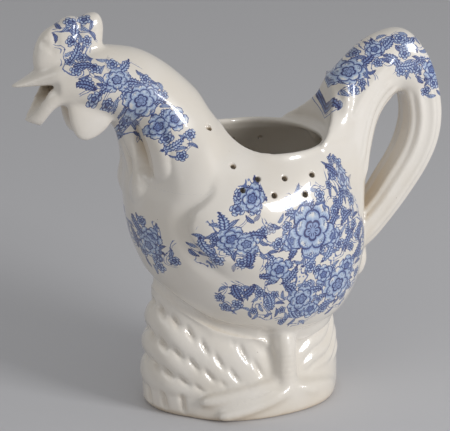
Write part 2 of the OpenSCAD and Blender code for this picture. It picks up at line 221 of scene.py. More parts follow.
def looped(name, rings):
    """A closed solid through rings that return to the first one."""
    count, total = len(rings[0]), len(rings)
    faces = []
    for r in range(total):
        for k in range(count):
            ahead = (r + 1) % total
            faces.append((r * count + k, r * count + (k + 1) % count,
                          ahead * count + (k + 1) % count, ahead * count + k))
    return outward(make(name, np.concatenate(rings), faces))


def outward(thing):
    """Turns a closed mesh's faces outwards, and gives the thing back."""
    mesh = thing.data
    mesh.calc_loop_triangles()
    triangles = read(mesh.loop_triangles, "vertices", 3, int)
    a, b, c = (corners(mesh)[triangles[:, k]] for k in range(3))
    if np.einsum("ij,ij->", a, np.cross(b, c)) < 0:
        mesh.flip_normals()
    return thing


def prism(name, outline, y_low, y_high):
    """A plate with an outline in the side view, between two places across."""
    count = len(outline)
    points = [(x, y_low, z) for x, z in outline] + [(x, y_high, z) for x, z in outline]
    faces = [tuple(range(count)), tuple(range(2 * count - 1, count - 1, -1))]
    faces += [(k, count + k, count + (k + 1) % count, (k + 1) % count) for k in range(count)]
    return outward(make(name, points, faces))


def tube(name, path, radii, count=24):
    """A round tube along a path of points, closed at both ends."""
    path = np.array(path, float)
    rings = []
    for i, centre in enumerate(path):
        ahead = path[min(i + 1, len(path) - 1)] - path[max(i - 1, 0)]
        ahead /= np.linalg.norm(ahead)
        side = np.cross(ahead, (0, 0, 1) if abs(ahead[2]) < 0.9 else (1, 0, 0))
        side /= np.linalg.norm(side)
        over = np.cross(side, ahead)
        angle = circle(count)
        rings.append(centre + radii[i] * (np.outer(np.cos(angle), side)
                                          + np.outer(np.sin(angle), over)))
    return lofted(name, rings)


def ball(name, centre, radii, turn=0.0, count=32):
    """An ellipsoid, turned in the side view."""
    rings = []
    for lat in np.linspace(-math.pi / 2 + 0.05, math.pi / 2 - 0.05, count // 2):
        angle = circle(count)
        ring = spots(np.cos(lat) * np.cos(angle) * radii[0],
                     np.cos(lat) * np.sin(angle) * radii[1], math.sin(lat) * radii[2])
        x = ring[:, 0] * math.cos(turn) - ring[:, 2] * math.sin(turn)
        z = ring[:, 0] * math.sin(turn) + ring[:, 2] * math.cos(turn)
        rings.append(spots(x, ring[:, 1], z) + centre)
    return lofted(name, rings)


def read(items, title, width=1, kind=float):
    """One value of each vertex, edge or face, or a row of them where width is over 1."""
    values = np.empty(len(items) * width, kind)
    items.foreach_get(title, values)
    return values.reshape(-1, width) if width > 1 else values


def corners(mesh):
    """A mesh's points as an array."""
    return read(mesh.vertices, "co", 3)


def move(mesh, points):
    """Puts a mesh's points at new places."""
    mesh.vertices.foreach_set("co", points.ravel())
    mesh.update()


def normals(mesh):
    """A mesh's point normals as an array."""
    return read(mesh.vertices, "normal", 3)


def tree_of(thing):
    """A search tree over a thing's faces."""
    return BVHTree.FromPolygons([tuple(p) for p in corners(thing.data)],
                                [tuple(face.vertices) for face in thing.data.polygons])


def drop(thing):
    """Removes a helper object and its mesh."""
    mesh = thing.data
    bpy.data.objects.remove(thing)
    bpy.data.meshes.remove(mesh)


def settled(thing):
    """A fresh mesh of a thing with its modifiers applied."""
    graph = bpy.context.evaluated_depsgraph_get()
    mesh = bpy.data.meshes.new_from_object(thing.evaluated_get(graph))
    old = thing.data
    thing.modifiers.clear()
    thing.data = mesh
    bpy.data.meshes.remove(old)
    return thing


def joined(name, things):
    """One mesh of several overlapping solids."""
    points, faces, start = [], [], 0
    for thing in things:
        own = corners(thing.data)
        points.append(own)
        faces += [tuple(start + v for v in face.vertices) for face in thing.data.polygons]
        start += len(own)
        drop(thing)
    return make(name, np.concatenate(points), faces)


def fused(thing, voxel):
    """Overlapping solids grown together into one skin of even squares."""
    modifier = thing.modifiers.new("fuse", "REMESH")
    modifier.mode = "VOXEL"
    modifier.voxel_size = voxel
    modifier.adaptivity = 0
    return settled(thing)


def combined(thing, other, way, keep_other=False):
    """A solid with another cut away from it, kept inside it or added to it."""
    modifier = thing.modifiers.new("cut", "BOOLEAN")
    modifier.operation = way
    modifier.solver = "MANIFOLD"
    modifier.object = other
    settled(thing)
    if not keep_other:
        drop(other)
    return thing


def copied(thing, name):
    """A second object with its own mesh."""
    twin = bpy.data.objects.new(name, thing.data.copy())
    bpy.context.scene.collection.objects.link(twin)
    return twin


# Fields over the skin.


def step(value, low, high):
    """Rises smoothly from 0 at low to 1 at high."""
    t = np.clip((value - low) / (high - low), 0, 1)
    return t * t * (3 - 2 * t)


def fading(value, low, high):
    """Falls smoothly from 1 at low to 0 at high."""
    return 1 - step(value, low, high)


def plateau(value, low, full, hold, high):
    """Rises from 0 to 1 between the first two places and falls back between the last two."""
    return step(value, low, full) * fading(value, hold, high)


def band(value, middle, half, power=2):
    """1 at a middle, falling off to both sides."""
    return np.exp(-((value - middle) / half) ** power)


def line_distance(points, line):
    """Distance to a broken line, and how far along it the nearest place is, from 0 to 1."""
    best = np.full(len(points), 1e9)
    place = np.zeros(len(points))
    count = len(line) - 1
    for k in range(count):
        a, b = line[k], line[k + 1]
        t = np.clip((points - a) @ (b - a) / ((b - a) @ (b - a)), 0, 1)
        gap = np.linalg.norm(points - a - np.outer(t, b - a), axis=1)
        closer = gap < best
        best[closer] = gap[closer]
        place[closer] = (k + t[closer]) / count
    return best, place


def ridge(points, line, width, height, fade_in=0.0, fade_out=0.0, sharp=0.8):
    """A rounded ridge along a line, fading at its two ends as asked."""
    near = np.abs(points - line.mean(0)).max(1) < np.ptp(line, axis=0).max() / 2 + width + 5
    rise = np.zeros(len(points))
    gap, place = line_distance(points[near], line)
    dome = np.clip(1 - (gap / width) ** 2, 0, 1) ** sharp
    if fade_in:
        dome *= step(place, 0, fade_in)
    if fade_out:
        dome *= step(1 - place, 0, fade_out)
    rise[near] = dome * height
    return rise


def blurred(mesh_edges, counts, values):
    """Each value averaged with its neighbours'."""
    total = np.zeros_like(values)
    for column in range(values.shape[1]):
        total[:, column] = (
            np.bincount(mesh_edges[:, 0], values[mesh_edges[:, 1], column], len(values))
            + np.bincount(mesh_edges[:, 1], values[mesh_edges[:, 0], column], len(values)))
    return total / counts[:, None]


def edge_table(mesh):
    """Edges as pairs of points, and how many each point has."""
    pairs = read(mesh.edges, "vertices", 2, int)
    counts = np.bincount(pairs.ravel(), minlength=len(mesh.vertices)).astype(float)
    return pairs, np.maximum(counts, 1)


def soften(mesh, rounds, hollow_rounds, keep=None):
    """Irons the skin, and then fills its hollow corners as glaze and slip do."""
    pairs, counts = edge_table(mesh)
    points = corners(mesh)
    weight = np.ones(len(points)) if keep is None else 1 - keep
    for _ in range(rounds):
        points += (blurred(pairs, counts, points) - points) * 0.5 * weight[:, None]
    move(mesh, points)
    facing = normals(mesh)
    for turn in range(hollow_rounds):
        pull = blurred(pairs, counts, points) - points
        depth = np.einsum("ij,ij->i", pull, facing)
        hollow = step(depth, 0.01, 0.06)[:, None]
        for _ in range(2):
            hollow = np.maximum(hollow, blurred(pairs, counts, hollow))
        points += pull * 0.6 * hollow * weight[:, None]
        if turn % 6 == 5:
            move(mesh, points)
            facing = normals(mesh)
    move(mesh, points)


# The forms.


# The opening: the height of the rim's crest by the turn from the tail, its lip, and how much the
# hole narrows in front.
RIM_CREST = [(0, 166), (60, 166.2), (100, 166.8), (115, 168.2), (125, 170.4), (135, 174),
             (146, 178.8), (155, 183.4), (180, 186.6)]
LIP_R = 2.3
LIP_LAP = 0.2
FRONT_NARROWING = 3
# Between these heights the back comes down to the rim, and over the others the tail stays as it is.
BACK_Z = (120, 150)
TAIL_Z = (174, 188)
# How far from the rim the back's blend begins, how far it reaches behind, how much less in
# front, and the turns between which that changes.
RIM_EDGE = 1.5
BLEND_BEHIND, BLEND_LOST = 30, 20
BLEND_TURN = (110, 150)
# The front of the throat: the share of its width that it loses, how far it is set back, and where.
THROAT_PINCH = 0.56
THROAT_BACK = 3.0
THROAT_Z = (142, 160, 178, 204)
THROAT_X = (48, 72)


def round_opening(points):
    """The distance from the opening's axis, and the turn from the tail in degrees."""
    x = points[:, 0] - OPENING_X
    return np.hypot(x, points[:, 1]), np.abs(np.degrees(np.arctan2(points[:, 1], x)))


def hole_radius(turn):
    """The opening's radius by the turn from the tail."""
    return OPENING_D / 2 - FRONT_NARROWING * step(turn, 130, 175)


def rim_crest(turn):
    """The height of the rim's crest by the turn from the tail."""
    return read_off(RIM_CREST, turn)


def rim_drop():
    """How far the plain loft's back stands above the rim, by the turn from the tail."""
    plain = lofted("plain", run(SPINE, HEAD_AT, TAIL_AT - 1))
    tree = tree_of(plain)
    drop(plain)
    turns = np.arange(0, 181, 5)
    drops = []
    for turn in turns:
        reach = hole_radius(turn) + RIM_EDGE
        angle = math.radians(turn)
        start = Vector((OPENING_X + reach * math.cos(angle), reach * math.sin(angle), 230))
        hit = tree.ray_cast(start, Vector((0, 0, -1)))[0]
        drops.append(hit.z - rim_crest(turn) if hit else 0)
    return turns, np.array(drops)


def settled_back(points, rim_drops):
    """Brings the back round the opening down to the rim, and draws the throat's front in."""
    reach, turn = round_opening(points)
    blend = BLEND_BEHIND - BLEND_LOST * step(turn, *BLEND_TURN)
    fall = np.interp(turn, *rim_drops) * fading(reach - hole_radius(turn), RIM_EDGE, blend)
    tail = np.where(turn < 90, fading(points[:, 2], *TAIL_Z), 1)
    points[:, 2] -= fall * tail * step(points[:, 2], *BACK_Z)
    front = 1 - narrowing(points)
    points[:, 0] += THROAT_BACK * front / THROAT_PINCH
    points[:, 1] *= 1 - front
    return points


def narrowing(points):
    """The share of its width that the front of the throat keeps."""
    return 1 - THROAT_PINCH * plateau(points[:, 2], *THROAT_Z) * step(-points[:, 0], *THROAT_X)


def trunk(rim_drops, by=0.0):
    """The hen from the beak's root to the tail's top."""
    thing = lofted("trunk", run(SPINE, HEAD_AT, TAIL_END, by=by))
    move(thing.data, settled_back(corners(thing.data), rim_drops))
    return thing


# The tail's foot: how far its front and its corners lie from the opening's axis, the turn of the
# corners by height, and the half width behind them.
HAUNCH_R, CORNER_R = 39, 42.5
HAUNCH_TURN = [(150, 52), (166, 50), (168.5, 47), (171.8, 40), (177, 30), (181, 24), (187, 15),
               (196, 5), (200, 2)]
HAUNCH_HALF = [(150, 26), (165, 24.5), (175, 22), (185, 20.5), (200, 17)]


def haunch_form():
    """The tail's foot, which spreads round the back of the opening."""
    rings = []
    for z in np.linspace(150, 198, 25):
        corner = math.radians(read_off(HAUNCH_TURN, z))
        half = read_off(HAUNCH_HALF, z)
        front = [(OPENING_X + HAUNCH_R * math.cos(turn), HAUNCH_R * math.sin(turn))
                 for turn in np.linspace(-corner, corner, 13)]
        edge = (OPENING_X + CORNER_R * math.cos(corner), CORNER_R * math.sin(corner))
        flank = [edge, ((edge[0] + 66) / 2, (edge[1] + half) / 2 - 0.5), (66, half * 0.93),
                 (72, half * 0.7), (75, half * 0.4), (76, 0)]
        plan = front + flank + [(x, -y) for x, y in flank[-2::-1]]
        plan = smooth_line(plan + plan[:1], 80)[:-1]
        rings.append(np.concatenate([plan, np.full((79, 1), z)], 1))
    return lofted("haunch", rings)


def lip_form():
    """The rounded lip of the opening."""
    turns = np.arange(0, 360, 4)
    folded = np.abs((turns + 180) % 360 - 180)
    rings = []
    for turn, fold in zip(np.radians(turns), folded):
        ahead = np.array([math.cos(turn), math.sin(turn), 0])
        centre = (np.array([OPENING_X, 0, rim_crest(fold) - LIP_R])
                  + ahead * (hole_radius(fold) + LIP_R - LIP_LAP))
        angle = circle(20)
        rings.append(centre + LIP_R * (np.outer(np.cos(angle), ahead)
                                       + np.outer(np.sin(angle), (0, 0, 1))))
    return looped("lip", rings)


def handle_form():
    """The strap, running a little into the tail and the body."""
    return lofted("strap", run(STRAP, 0, len(STRAP) - 1, 64, 8))


# Outline of the comb in the side view, its cheeks and its thickness.
COMB_OUTLINE = [(-123, 229), (-120.5, 237), (-116, 243), (-108, 247.5), (-102, 250.8), (-98, 250.6),
                (-94.8, 249.4), (-90.5, 251.2), (-86.6, 252), (-83.4, 251), (-81, 246), (-81, 239),
                (-81.8, 233), (-83, 225), (-90, 221), (-102, 219), (-115, 219), (-122, 221)]
COMB_T = 16


def cushion(name, outline, centre, y, thickness, rows, rounding, least):
    """A plate with an outline in the side view, rounded off to both cheeks."""
    line = smooth_line(outline + outline[:1], 4 * len(outline) + 1)[:-1]
    rings = []
    for cheek in rows:
        shrink = max((1 - abs(cheek) ** rounding[0]) ** rounding[1], least)
        ring = centre + (line - centre) * shrink
        rings.append(spots(ring[:, 0], y + cheek * thickness / 2, ring[:, 1]))
    return lofted(name, rings)


def comb_form():
    """The comb, thick at its middle."""
    return cushion("comb_form", COMB_OUTLINE, np.array([-101, 232]), 0, COMB_T,
                   np.linspace(-1, 1, 15) * 0.98, (3, 0.45), 0.2)


# Upper beak: x, roof z, lip z, half width. Lower beak: x, lip z, jaw z, half width.
UPPER_BEAK = [(-104, 228, 208, 15), (-111.5, 226, 211.5, 13.6), (-117, 223.0, 211.6, 11),
              (-123, 219.2, 211.6, 8), (-129.5, 215.8, 211.7, 5.4), (-134.5, 213.8, 211.6, 3.4),
              (-136.8, 213.0, 211.8, 1.4)]
LOWER_BEAK = [(-103, 215, 199, 15), (-110.5, 214.6, 199.4, 13.4), (-116.8, 211.4, 197.2, 12),
              (-121.2, 205.2, 194.2, 10.4), (-125.3, 198.4, 190.2, 8), (-128.4, 193.8, 187.4, 5.5),
              (-129.8, 191.4, 187.6, 2.5)]
# The hollow of the mouth and the hollow under its roof: x, top z, bottom z, half width.
THROAT_ROWS = [(-96, 220, 205, 10), (-108, 217.0, 204.0, 9.0), (-115, 213.5, 201.4, 8.0),
               (-120.5, 211.8, 197.0, 6.8), (-124.8, 211.0, 193.2, 5.2), (-128.2, 210.0, 190.4, 2.8)]
ROOF_ROWS = [(-100, 219, 209, 9.5), (-112, 216.5, 209, 8.5), (-120, 213.6, 208, 6.0),
             (-127, 212.6, 208, 3.0)]
# The gap between the halves of the beak in the side view.
GAPE = [(-119.0, 211.8), (-120.2, 207.5), (-122.6, 202.0), (-125.6, 196.9), (-130, 192.0),
        (-150, 183), (-150, 211.2), (-130, 211.3), (-122, 211.6)]
GAPE_REACH = 30
LOWER_BEAK_LEAN = 0.35
SNOUT_SQUARENESS = 2.2


def snout(name, rows, count, around, lean=0.0):
    """A solid through upright sections of x, top z, bottom z and half width; lean tilts them."""
    rows = smooth_line(rows, count)
    root = rows[0][0]
    return lofted(name, [
        section(np.array([x, top, x - (x - root) * lean, bottom, half, SNOUT_SQUARENESS]), around)
        for x, top, bottom, half in rows])


# The wattles hang on both sides of the throat.
WATTLE_OUTLINE = [(-105.5, 199), (-105, 193), (-103.5, 186.5), (-101.2, 181.4), (-98, 178.4),
                  (-93, 177.8), (-87, 180.3), (-82, 184), (-79, 188.5), (-79, 197),
                  (-86, 204), (-96, 206), (-105, 204)]
WATTLE_Y = 8.6
WATTLE_T = 8.4


def wattle_form(side):
    """One wattle, a rounded flap."""
    return cushion("wattle_form", WATTLE_OUTLINE, np.array([-94, 193]), side * WATTLE_Y, WATTLE_T,
                   np.linspace(-1, 1, 13) * 0.97, (2.5, 0.5), 0.25)


# The plinth: an oval foot that narrows to a rim, high in front and low at the sides.
PLINTH_L, PLINTH_W, PLINTH_X = 125, 78, 5
RIM_FRONT, RIM_SIDE, RIM_BACK = 86, 54, 64
PLINTH_TAPER = 11
FOOT_ROUNDING = 1.2
HOLLOW_H, FOOT_W = 26, 9
# The rings of the hollow underside: how far each lies inside the outline, and its height.
HOLLOW_RINGS = ((FOOT_W + 3, HOLLOW_H), (FOOT_W + 1.4, HOLLOW_H / 2), (FOOT_W, 0))
# The mound under the feet: its height and how far it stands out.
MOUND_H, MOUND_OUT = 21, 7.5
TIER_FALL = 40
NEAR_TURN = 71.5


def oval(angle, grow, height):
    """A ring of the plinth, grown by some millimetres."""
    return spots(PLINTH_X + (PLINTH_L / 2 + grow) * np.cos(angle),
                 (PLINTH_W / 2 + grow) * np.sin(angle), height)


def turn_of(angle):
    """The turn from the front, in degrees, of an angle round the plinth."""
    return np.degrees(math.pi - np.arctan2(np.abs(np.sin(angle)), np.cos(angle)))


def rim_height(cosine):
    """The rim's height by the cosine of the angle round the plinth."""
    extra = np.where(cosine < 0, RIM_FRONT - RIM_SIDE, RIM_BACK - RIM_SIDE)
    return RIM_SIDE + extra * np.abs(cosine) ** 3


def plinth_form():
    """The plinth as a plain tapered solid with its hollow underside."""
    angle = circle(180)
    turn = turn_of(angle)
    rim = rim_height(np.cos(angle))
    mound = MOUND_H - 8 * ((turn - 95) / 45) ** 2
    rings = [oval(angle, -inward, lift) for inward, lift in HOLLOW_RINGS]
    for up in np.linspace(0, 1, 40):
        height = up * rim
        out = -PLINTH_TAPER * up ** 3 - FOOT_ROUNDING * (1 - min(up * 30, 1)) ** 2
        step_out = MOUND_OUT * band(turn, 98, 46, 4) * fading(height, mound - 3, mound + 1.5)
        rings.append(oval(angle, out + step_out, height))
    rings.append(oval(angle, -PLINTH_TAPER - 8, rim * 0.9))
    return lofted("plinth_form", rings)


LEG_X = 19
# The leg on the hen's left, mirrored to the right: the shank and three toes, as places with the
# half thickness there.
SHANK = [(19, 36.6, 12, 9.4), (19, 36.6, 22, 8.1), (19, 36.4, 32, 7.5), (19, 35.4, 42, 7.5),
         (18.6, 31.6, 52, 7.6), (18, 25, 62, 7.6)]
TOES = [[(16, 37, 19, 5.5), (6, 39.4, 18, 5.0), (-8, 40, 16.4, 4.6), (-20, 38.6, 14.6, 4.2),
         (-31, 35.8, 12.8, 3.4), (-35, 34.4, 12.0, 1.0)],
        [(22, 39, 17, 6.0), (13, 42.8, 13.4, 5.2), (0, 44, 9.6, 4.8), (-12, 43.8, 6.6, 4.2),
         (-22, 42.6, 4.6, 3.3), (-26, 41.6, 4.0, 1.0)],
        [(22, 38, 16, 6.0), (31, 38.6, 13.5, 5.0), (39, 36.8, 10.4, 3.8), (43.5, 35, 8.8, 1.0)]]


def leg_forms(side, extra=0.0):
    """A shank and its toes; extra thickens them, for the shape that parts them from the skin."""
    forms = []
    for name, rows in [("shank", SHANK)] + [("toe", rows) for rows in TOES]:
        path = smooth_line(rows, 20)
        forms.append(tube(name, path[:, :3] * (1, side, 1), path[:, 3] + extra))
    return forms


def tuft_form():
    """The short feather tuft on the body under the handle."""
    forms = [ball("tuft", (81.5, 0, 81), (5.5, 7.5, 13), -0.2)]
    forms += [ball("tuft", (81, side * 5, 78), (4.8, 4.8, 10), -0.25) for side in (-1, 1)]
    return forms


def scoop():
    """The hollow face of the tail, which rises round the back of the opening's rim."""
    angle = np.linspace(-1.2, 1.2, 40)
    rings = []
    for z in (SCOOP_Z, 172, 180, 190, 204, 230):
        radius = SCOOP_R + (z - SCOOP_Z) * SCOOP_FLARE
        arc = spots(OPENING_X + radius * np.cos(angle), radius * np.sin(angle), z)
        rings.append(np.concatenate([arc, [[28, 0, z]]]))
    return lofted("scoop", rings)


def cavity(rim_drops):
    """The hollow inside the wall, the filling opening and the mouth."""
    hollow_run = SPINE.copy()
    back_in = np.interp(np.arange(len(SPINE)), [TAIL_AT - 2, TAIL_AT, TAIL_END],
                        [0, TAIL_FRONT_SHARE, TAIL_FRONT_SHARE])
    hollow_run[:, 0:2] += (hollow_run[:, 2:4] - hollow_run[:, 0:2]) * back_in[:, None]
    inside = lofted("inside", run(hollow_run, 0.2, TAIL_END - 0.4, 64, 5, WALL))
    move(inside.data, settled_back(corners(inside.data), rim_drops))
    angle = circle(96)
    wide = hole_radius(np.abs(np.degrees((angle + math.pi) % (2 * math.pi) - math.pi)))
    opening = lofted("opening", [
        spots(OPENING_X + (wide - less) * np.cos(angle), (wide - less) * np.sin(angle), z)
        for z, less in ((120, 6), (156, -1.2), (240, -1.6))])
    return [inside, opening, scoop(), prism("gape", GAPE, -GAPE_REACH, GAPE_REACH),
            snout("throat", THROAT_ROWS, 30, 48), snout("roof", ROOF_ROWS, 20, 32)]


def whole_skin(rim_drops):
    """The jug as one closed skin with its wall and its hollow."""
    forms = [trunk(rim_drops), haunch_form(), handle_form(), comb_form(), plinth_form(),
             snout("upper", UPPER_BEAK, 40, 48), snout("lower", LOWER_BEAK, 40, 48, LOWER_BEAK_LEAN)]
    for side in (-1, 1):
        forms.append(wattle_form(side))
        forms += leg_forms(side)
    forms += tuft_form()
    solid = fused(joined("skin", forms), SKIN_VOXEL)
    hollow = fused(joined("hollow", cavity(rim_drops)), SKIN_VOXEL)
    opened = combined(solid, hollow, "DIFFERENCE")
    return fused(joined("skin", [opened, lip_form()]), SKIN_VOXEL)


# The carving.

WING_EDGE = [(-29.5, 158.5), (-31.2, 157), (-32.4, 152.8), (-35.6, 149), (-41.2, 144.3),
             (-45, 139.3), (-46.8, 132), (-45.6, 125.7), (-43.4, 120.6), (-39.5, 114.3),
             (-34.9, 107.8), (-30.4, 103.2), (-24, 98), (-14, 92), (-2, 87.5), (12, 84.5), (30, 83)]
WING_REST = [(60, 86), (85, 100), (85, 165), (-20, 165)]
WING_T = 5.0
WING_DIP = 1.6
# Over how many mm the wing swells behind its edge, in front and how many more below, and how
# the swell is shared between a steep part and a slow one.
WING_SPREAD, WING_SPREAD_MORE = 3.8, 18
STEEP_SHARE, SLOW_SHARE = 0.65, 0.35
# Where the wing fades into the body, behind and at its top, and where the dip along its edge
# ends.
WING_FADE_X = (-10, 42)
WING_TOP_Z = (138, 162)
WING_EDGE_END = (0.55, 0.85)


def inside_outline(points, outline):
    """Which points of the side view lie inside an outline."""
    found = np.zeros(len(points), bool)
    for (x0, z0), (x1, z1) in zip(outline, outline[1:] + outline[:1]):
        crosses = (z0 > points[:, 1]) != (z1 > points[:, 1])
        at = x0 + (points[:, 1] - z0) * (x1 - x0) / (z1 - z0 if z1 != z0 else 1e-9)
        found ^= crosses & (points[:, 0] < at)
    return found


def wing_relief(points, facing):
    """The wing swells behind a soft front edge and fades into the body."""
    side = np.sign(points[:, 1])
    view = points[:, [0, 2]]
    edge = smooth_line(WING_EDGE, 60)
    gap, place = line_distance(view, edge)
    inner = inside_outline(view, WING_EDGE + WING_REST)
    spread = WING_SPREAD + WING_SPREAD_MORE * step(place, 0.5, 0.9)
    swell = STEEP_SHARE * step(gap / spread, -0.1, 1.0) + SLOW_SHARE * step(gap / spread, 0, 4)
    rise = np.where(inner, swell, 0.0)
    dip = fading(gap, 0, np.where(inner, 5, 9))
    fade = fading(points[:, 0], *WING_FADE_X)
    top = fading(points[:, 2], *WING_TOP_Z)
    along_edge = fading(place, *WING_EDGE_END)
    outer = (side * facing[:, 1] > 0.02) & (np.abs(points[:, 1]) > 20)
    amount = WING_T * rise * fade * top - WING_DIP * dip * along_edge * top
    return np.where(outer, amount, 0)


# Where the neck feathers lie in the side view, and how far from there the skin is searched.
HACKLE_X, HACKLE_Z = -66, 168
HACKLE_REACH = (24, 36)
# Neck feathers on the hen's left, mirrored to the right: line, width, height, fade at the root.
HACKLES = [
    ([(-75.5, -19, 187), (-72.8, -21.3, 175.4), (-70.4, -22.9, 167.7), (-68.6, -22.4, 161.3),
      (-67.6, -20.0, 154.3), (-67.8, -15.8, 147.5), (-69.2, -11.5, 143.5)], 6.8, 5.4, 0.3),
    ([(-77, -12, 180), (-74.0, -12, 168), (-71.5, -10, 157), (-69.8, -7, 146)], 6.5, 2.0, 0.5),
    ([(-71.5, -24.5, 182), (-69.2, -25.6, 172), (-67.2, -26.2, 163), (-66, -26.8, 155)],
     3.2, 3.0, 0.3),
    ([(-67.5, -27.5, 195), (-64.5, -29.5, 185), (-62, -31.5, 176), (-60.4, -33, 168),
      (-60.2, -33, 161)], 6.6, 3.8, 0.4)]
HACKLE_CREASES = [
    ([(-69.5, -24.5, 183), (-66.7, -25.4, 174.0), (-65.4, -25.6, 164.7), (-65.2, -25.9, 155.7)],
     3.0, 4.2),
    ([(-70.5, -26, 189), (-68.2, -27.4, 180), (-66, -28.2, 171), (-64.2, -28.8, 163),
      (-62.6, -29.4, 154.5)], 3.2, 4.6),
    ([(-71.8, -17.5, 170), (-70.2, -16.5, 160), (-69.6, -14.0, 151)], 2.4, 1.0)]


def mirrored(points):
    """Points brought to the hen's left."""
    left = points.copy()
    left[:, 1] = -np.abs(left[:, 1])
    return left


def laid_on(line, points):
    """A line's points moved to the nearest points of the skin."""
    return np.array([points[((points - spot) ** 2).sum(1).argmin()] for spot in line])


def hackle_relief(points, facing):
    """Drooping feathers with deep creases between them."""
    left = mirrored(points)
    kept = narrowing(points)
    left[:, 0] -= THROAT_BACK * (1 - kept) / THROAT_PINCH
    left[:, 1] /= kept
    side = np.where(points[:, 1] < 0, 1, -1)
    outer = -facing[:, 0] - facing[:, 1] * side > -0.1
    rise = np.zeros(len(points))
    skin_near = left[outer & (np.abs(points[:, 0] - HACKLE_X) < HACKLE_REACH[0])
                     & (np.abs(points[:, 2] - HACKLE_Z) < HACKLE_REACH[1])]
    for line, width, height, fade in HACKLES:
        line = laid_on(smooth_line(line, 24), skin_near)
        feather = ridge(left, line, width, height, fade_in=fade, sharp=0.75)
        rise = np.maximum(rise, feather)
    for line, width, depth in HACKLE_CREASES:
        line = laid_on(smooth_line(line, 20), skin_near)
        rise -= ridge(left, line, width, depth, 0.35, 0.2, 1.2)
    sideways = step(np.abs(facing[:, 1]), 0.1, 0.6)
    return np.where(outer, rise * sideways, 0)


def run_line(rows, degrees, start, end, count=40):
    """A line along a run of stations at one place round their sections."""
    line = []
    for at in np.linspace(start, end, count):
        ring = section(between(rows, at), 360)
        line.append(ring[int(degrees) % 360])
    return np.array(line)


TAIL_RIDGES = [(203, 17.6, 21.6, 3.4, 1.0), (222, 17.2, 21.8, 3.2, 1.3), (243, 17.4, 21.6, 2.8, 0.9),
               (168, 18.6, 21.8, 2.6, 0.6)]
STRAP_RIDGES = [(234, 2.2, 10.6, 2.6, 1.3), (201, 3.0, 10.6, 2.6, 1.2), (168, 2.4, 10.6, 2.8, 1.0),
                (134, 1.6, 10.6, 3.2, 0.9), (270, 4.2, 9.6, 2.6, 0.4)]


def feather_ridges(points):
    """Lengthwise ridges of the long feathers on the tail and the handle."""
    left = mirrored(points)
    rise = np.zeros(len(points))
    for rows, ridges in ((SPINE, TAIL_RIDGES), (STRAP, STRAP_RIDGES)):
        for degrees, start, end, width, height in ridges:
            line = run_line(rows, degrees, start, end)
            rise = np.maximum(rise, ridge(left, line, width, height, 0.15, 0.12, 1.2))
    return rise


# Tiers of the plinth's feathers, by their height in front, and how much of the fall each takes.
TIER_HEIGHTS = [12, 33, 50, 68, 90, 110]
TIER_FALLS = [0.0, 0.65, 0.82, 1.0, 1.05, 1.05]
FEATHER_W, FOOT_FEATHER_W = 10.4, 12.5
# How far the tiers swell, how much more in front, and how deep the notches between feathers are.
TIER_SWELL, FRONT_SWELL, NOTCH_DEPTH = 1.0, 2.0, 2.3
LEAF_PITCH, LEAF_H, LEAF_SINK = 8.6, 1.9, 0.8
LEAF_SLANT = 0.36
FOOT_SWELL = 0.45
# The notches' half height and how far they slant over one feather.
NOTCH_HALF, NOTCH_SLANT = 1.8, 6.0
# The turns, in degrees from the front, over which each form fades or begins.
TIERS_END = (84, 96)
LEAVES_BEGIN = (112, 124)
FOOT_NOTCHES_END = (42, 52)
FOOT_SWELL_END = (46, 60)
FRONT_SWELL_END = (26, 52)
# The heights over which the relief begins over the foot, and the leaves.
RELIEF_Z = (1.5, 4)
LEAVES_Z = (16, 22)
# Behind these turns the plinth is plain below these heights.
PLAIN_TURN = (50, 60)
PLAIN_Z = (18, 26)
# The rim's roll and the groove over it, and its visible crest by the turn from the front.
ROLL_H, ROLL_GROOVE = 3.0, 1.5
PLINTH_CREST = [(0, 80), (20, 76), (39, 67), (56, 57), (71, 53), (87, 51), (96, 47), (118, 47),
                (134, 50), (180, 56)]


def round_the_foot(turn):
    """The distance round the plinth's outline from its front, by the turn in degrees."""
    grid = np.linspace(0, math.pi, 181)
    sides = np.hypot(np.diff(np.cos(grid)) * PLINTH_L / 2, np.diff(np.sin(grid)) * PLINTH_W / 2)
    return np.interp(np.radians(turn), grid, np.concatenate([[0], np.cumsum(sides)]))


def front_tiers(turn, z, place):
    """Rows of short feathers, and one row of long ones at the foot."""
    fall = TIER_FALL * (np.minimum(turn, 110) / NEAR_TURN) ** 1.8
    height = z.copy()
    for _ in range(5):
        height = z + fall * np.interp(height, TIER_HEIGHTS, TIER_FALLS)
    tier = np.interp(height, TIER_HEIGHTS, range(len(TIER_HEIGHTS)))
    row = np.round(tier)
    foot_row = row == 0
    above = height - np.interp(row, range(len(TIER_HEIGHTS)), TIER_HEIGHTS)
    phase = place / np.where(foot_row, FOOT_FEATHER_W, FEATHER_W) + row * 0.5
    phase -= np.floor(phase)
    swell = np.abs(np.sin(math.pi * tier)) ** 0.8
    slant = NOTCH_SLANT * (0.5 - phase)
    notch = band(above, slant, NOTCH_HALF) * np.sin(math.pi * phase) ** 1.8
    foot_notch = band(phase - 0.5 + (z - 9) * 0.02, 0, 0.13) * band(z, 9, 5.5, 4)
    notch = np.where(foot_row, foot_notch * fading(turn, *FOOT_NOTCHES_END), notch)
    foot_swell = (FOOT_SWELL
                  + (np.maximum(swell, FOOT_SWELL) - FOOT_SWELL) * fading(turn, *FOOT_SWELL_END))
    swell = np.where(foot_row, foot_swell, swell)
    swell_height = TIER_SWELL + FRONT_SWELL * fading(turn, *FRONT_SWELL_END)
    return fading(turn, *TIERS_END) * (swell_height * swell - NOTCH_DEPTH * notch)


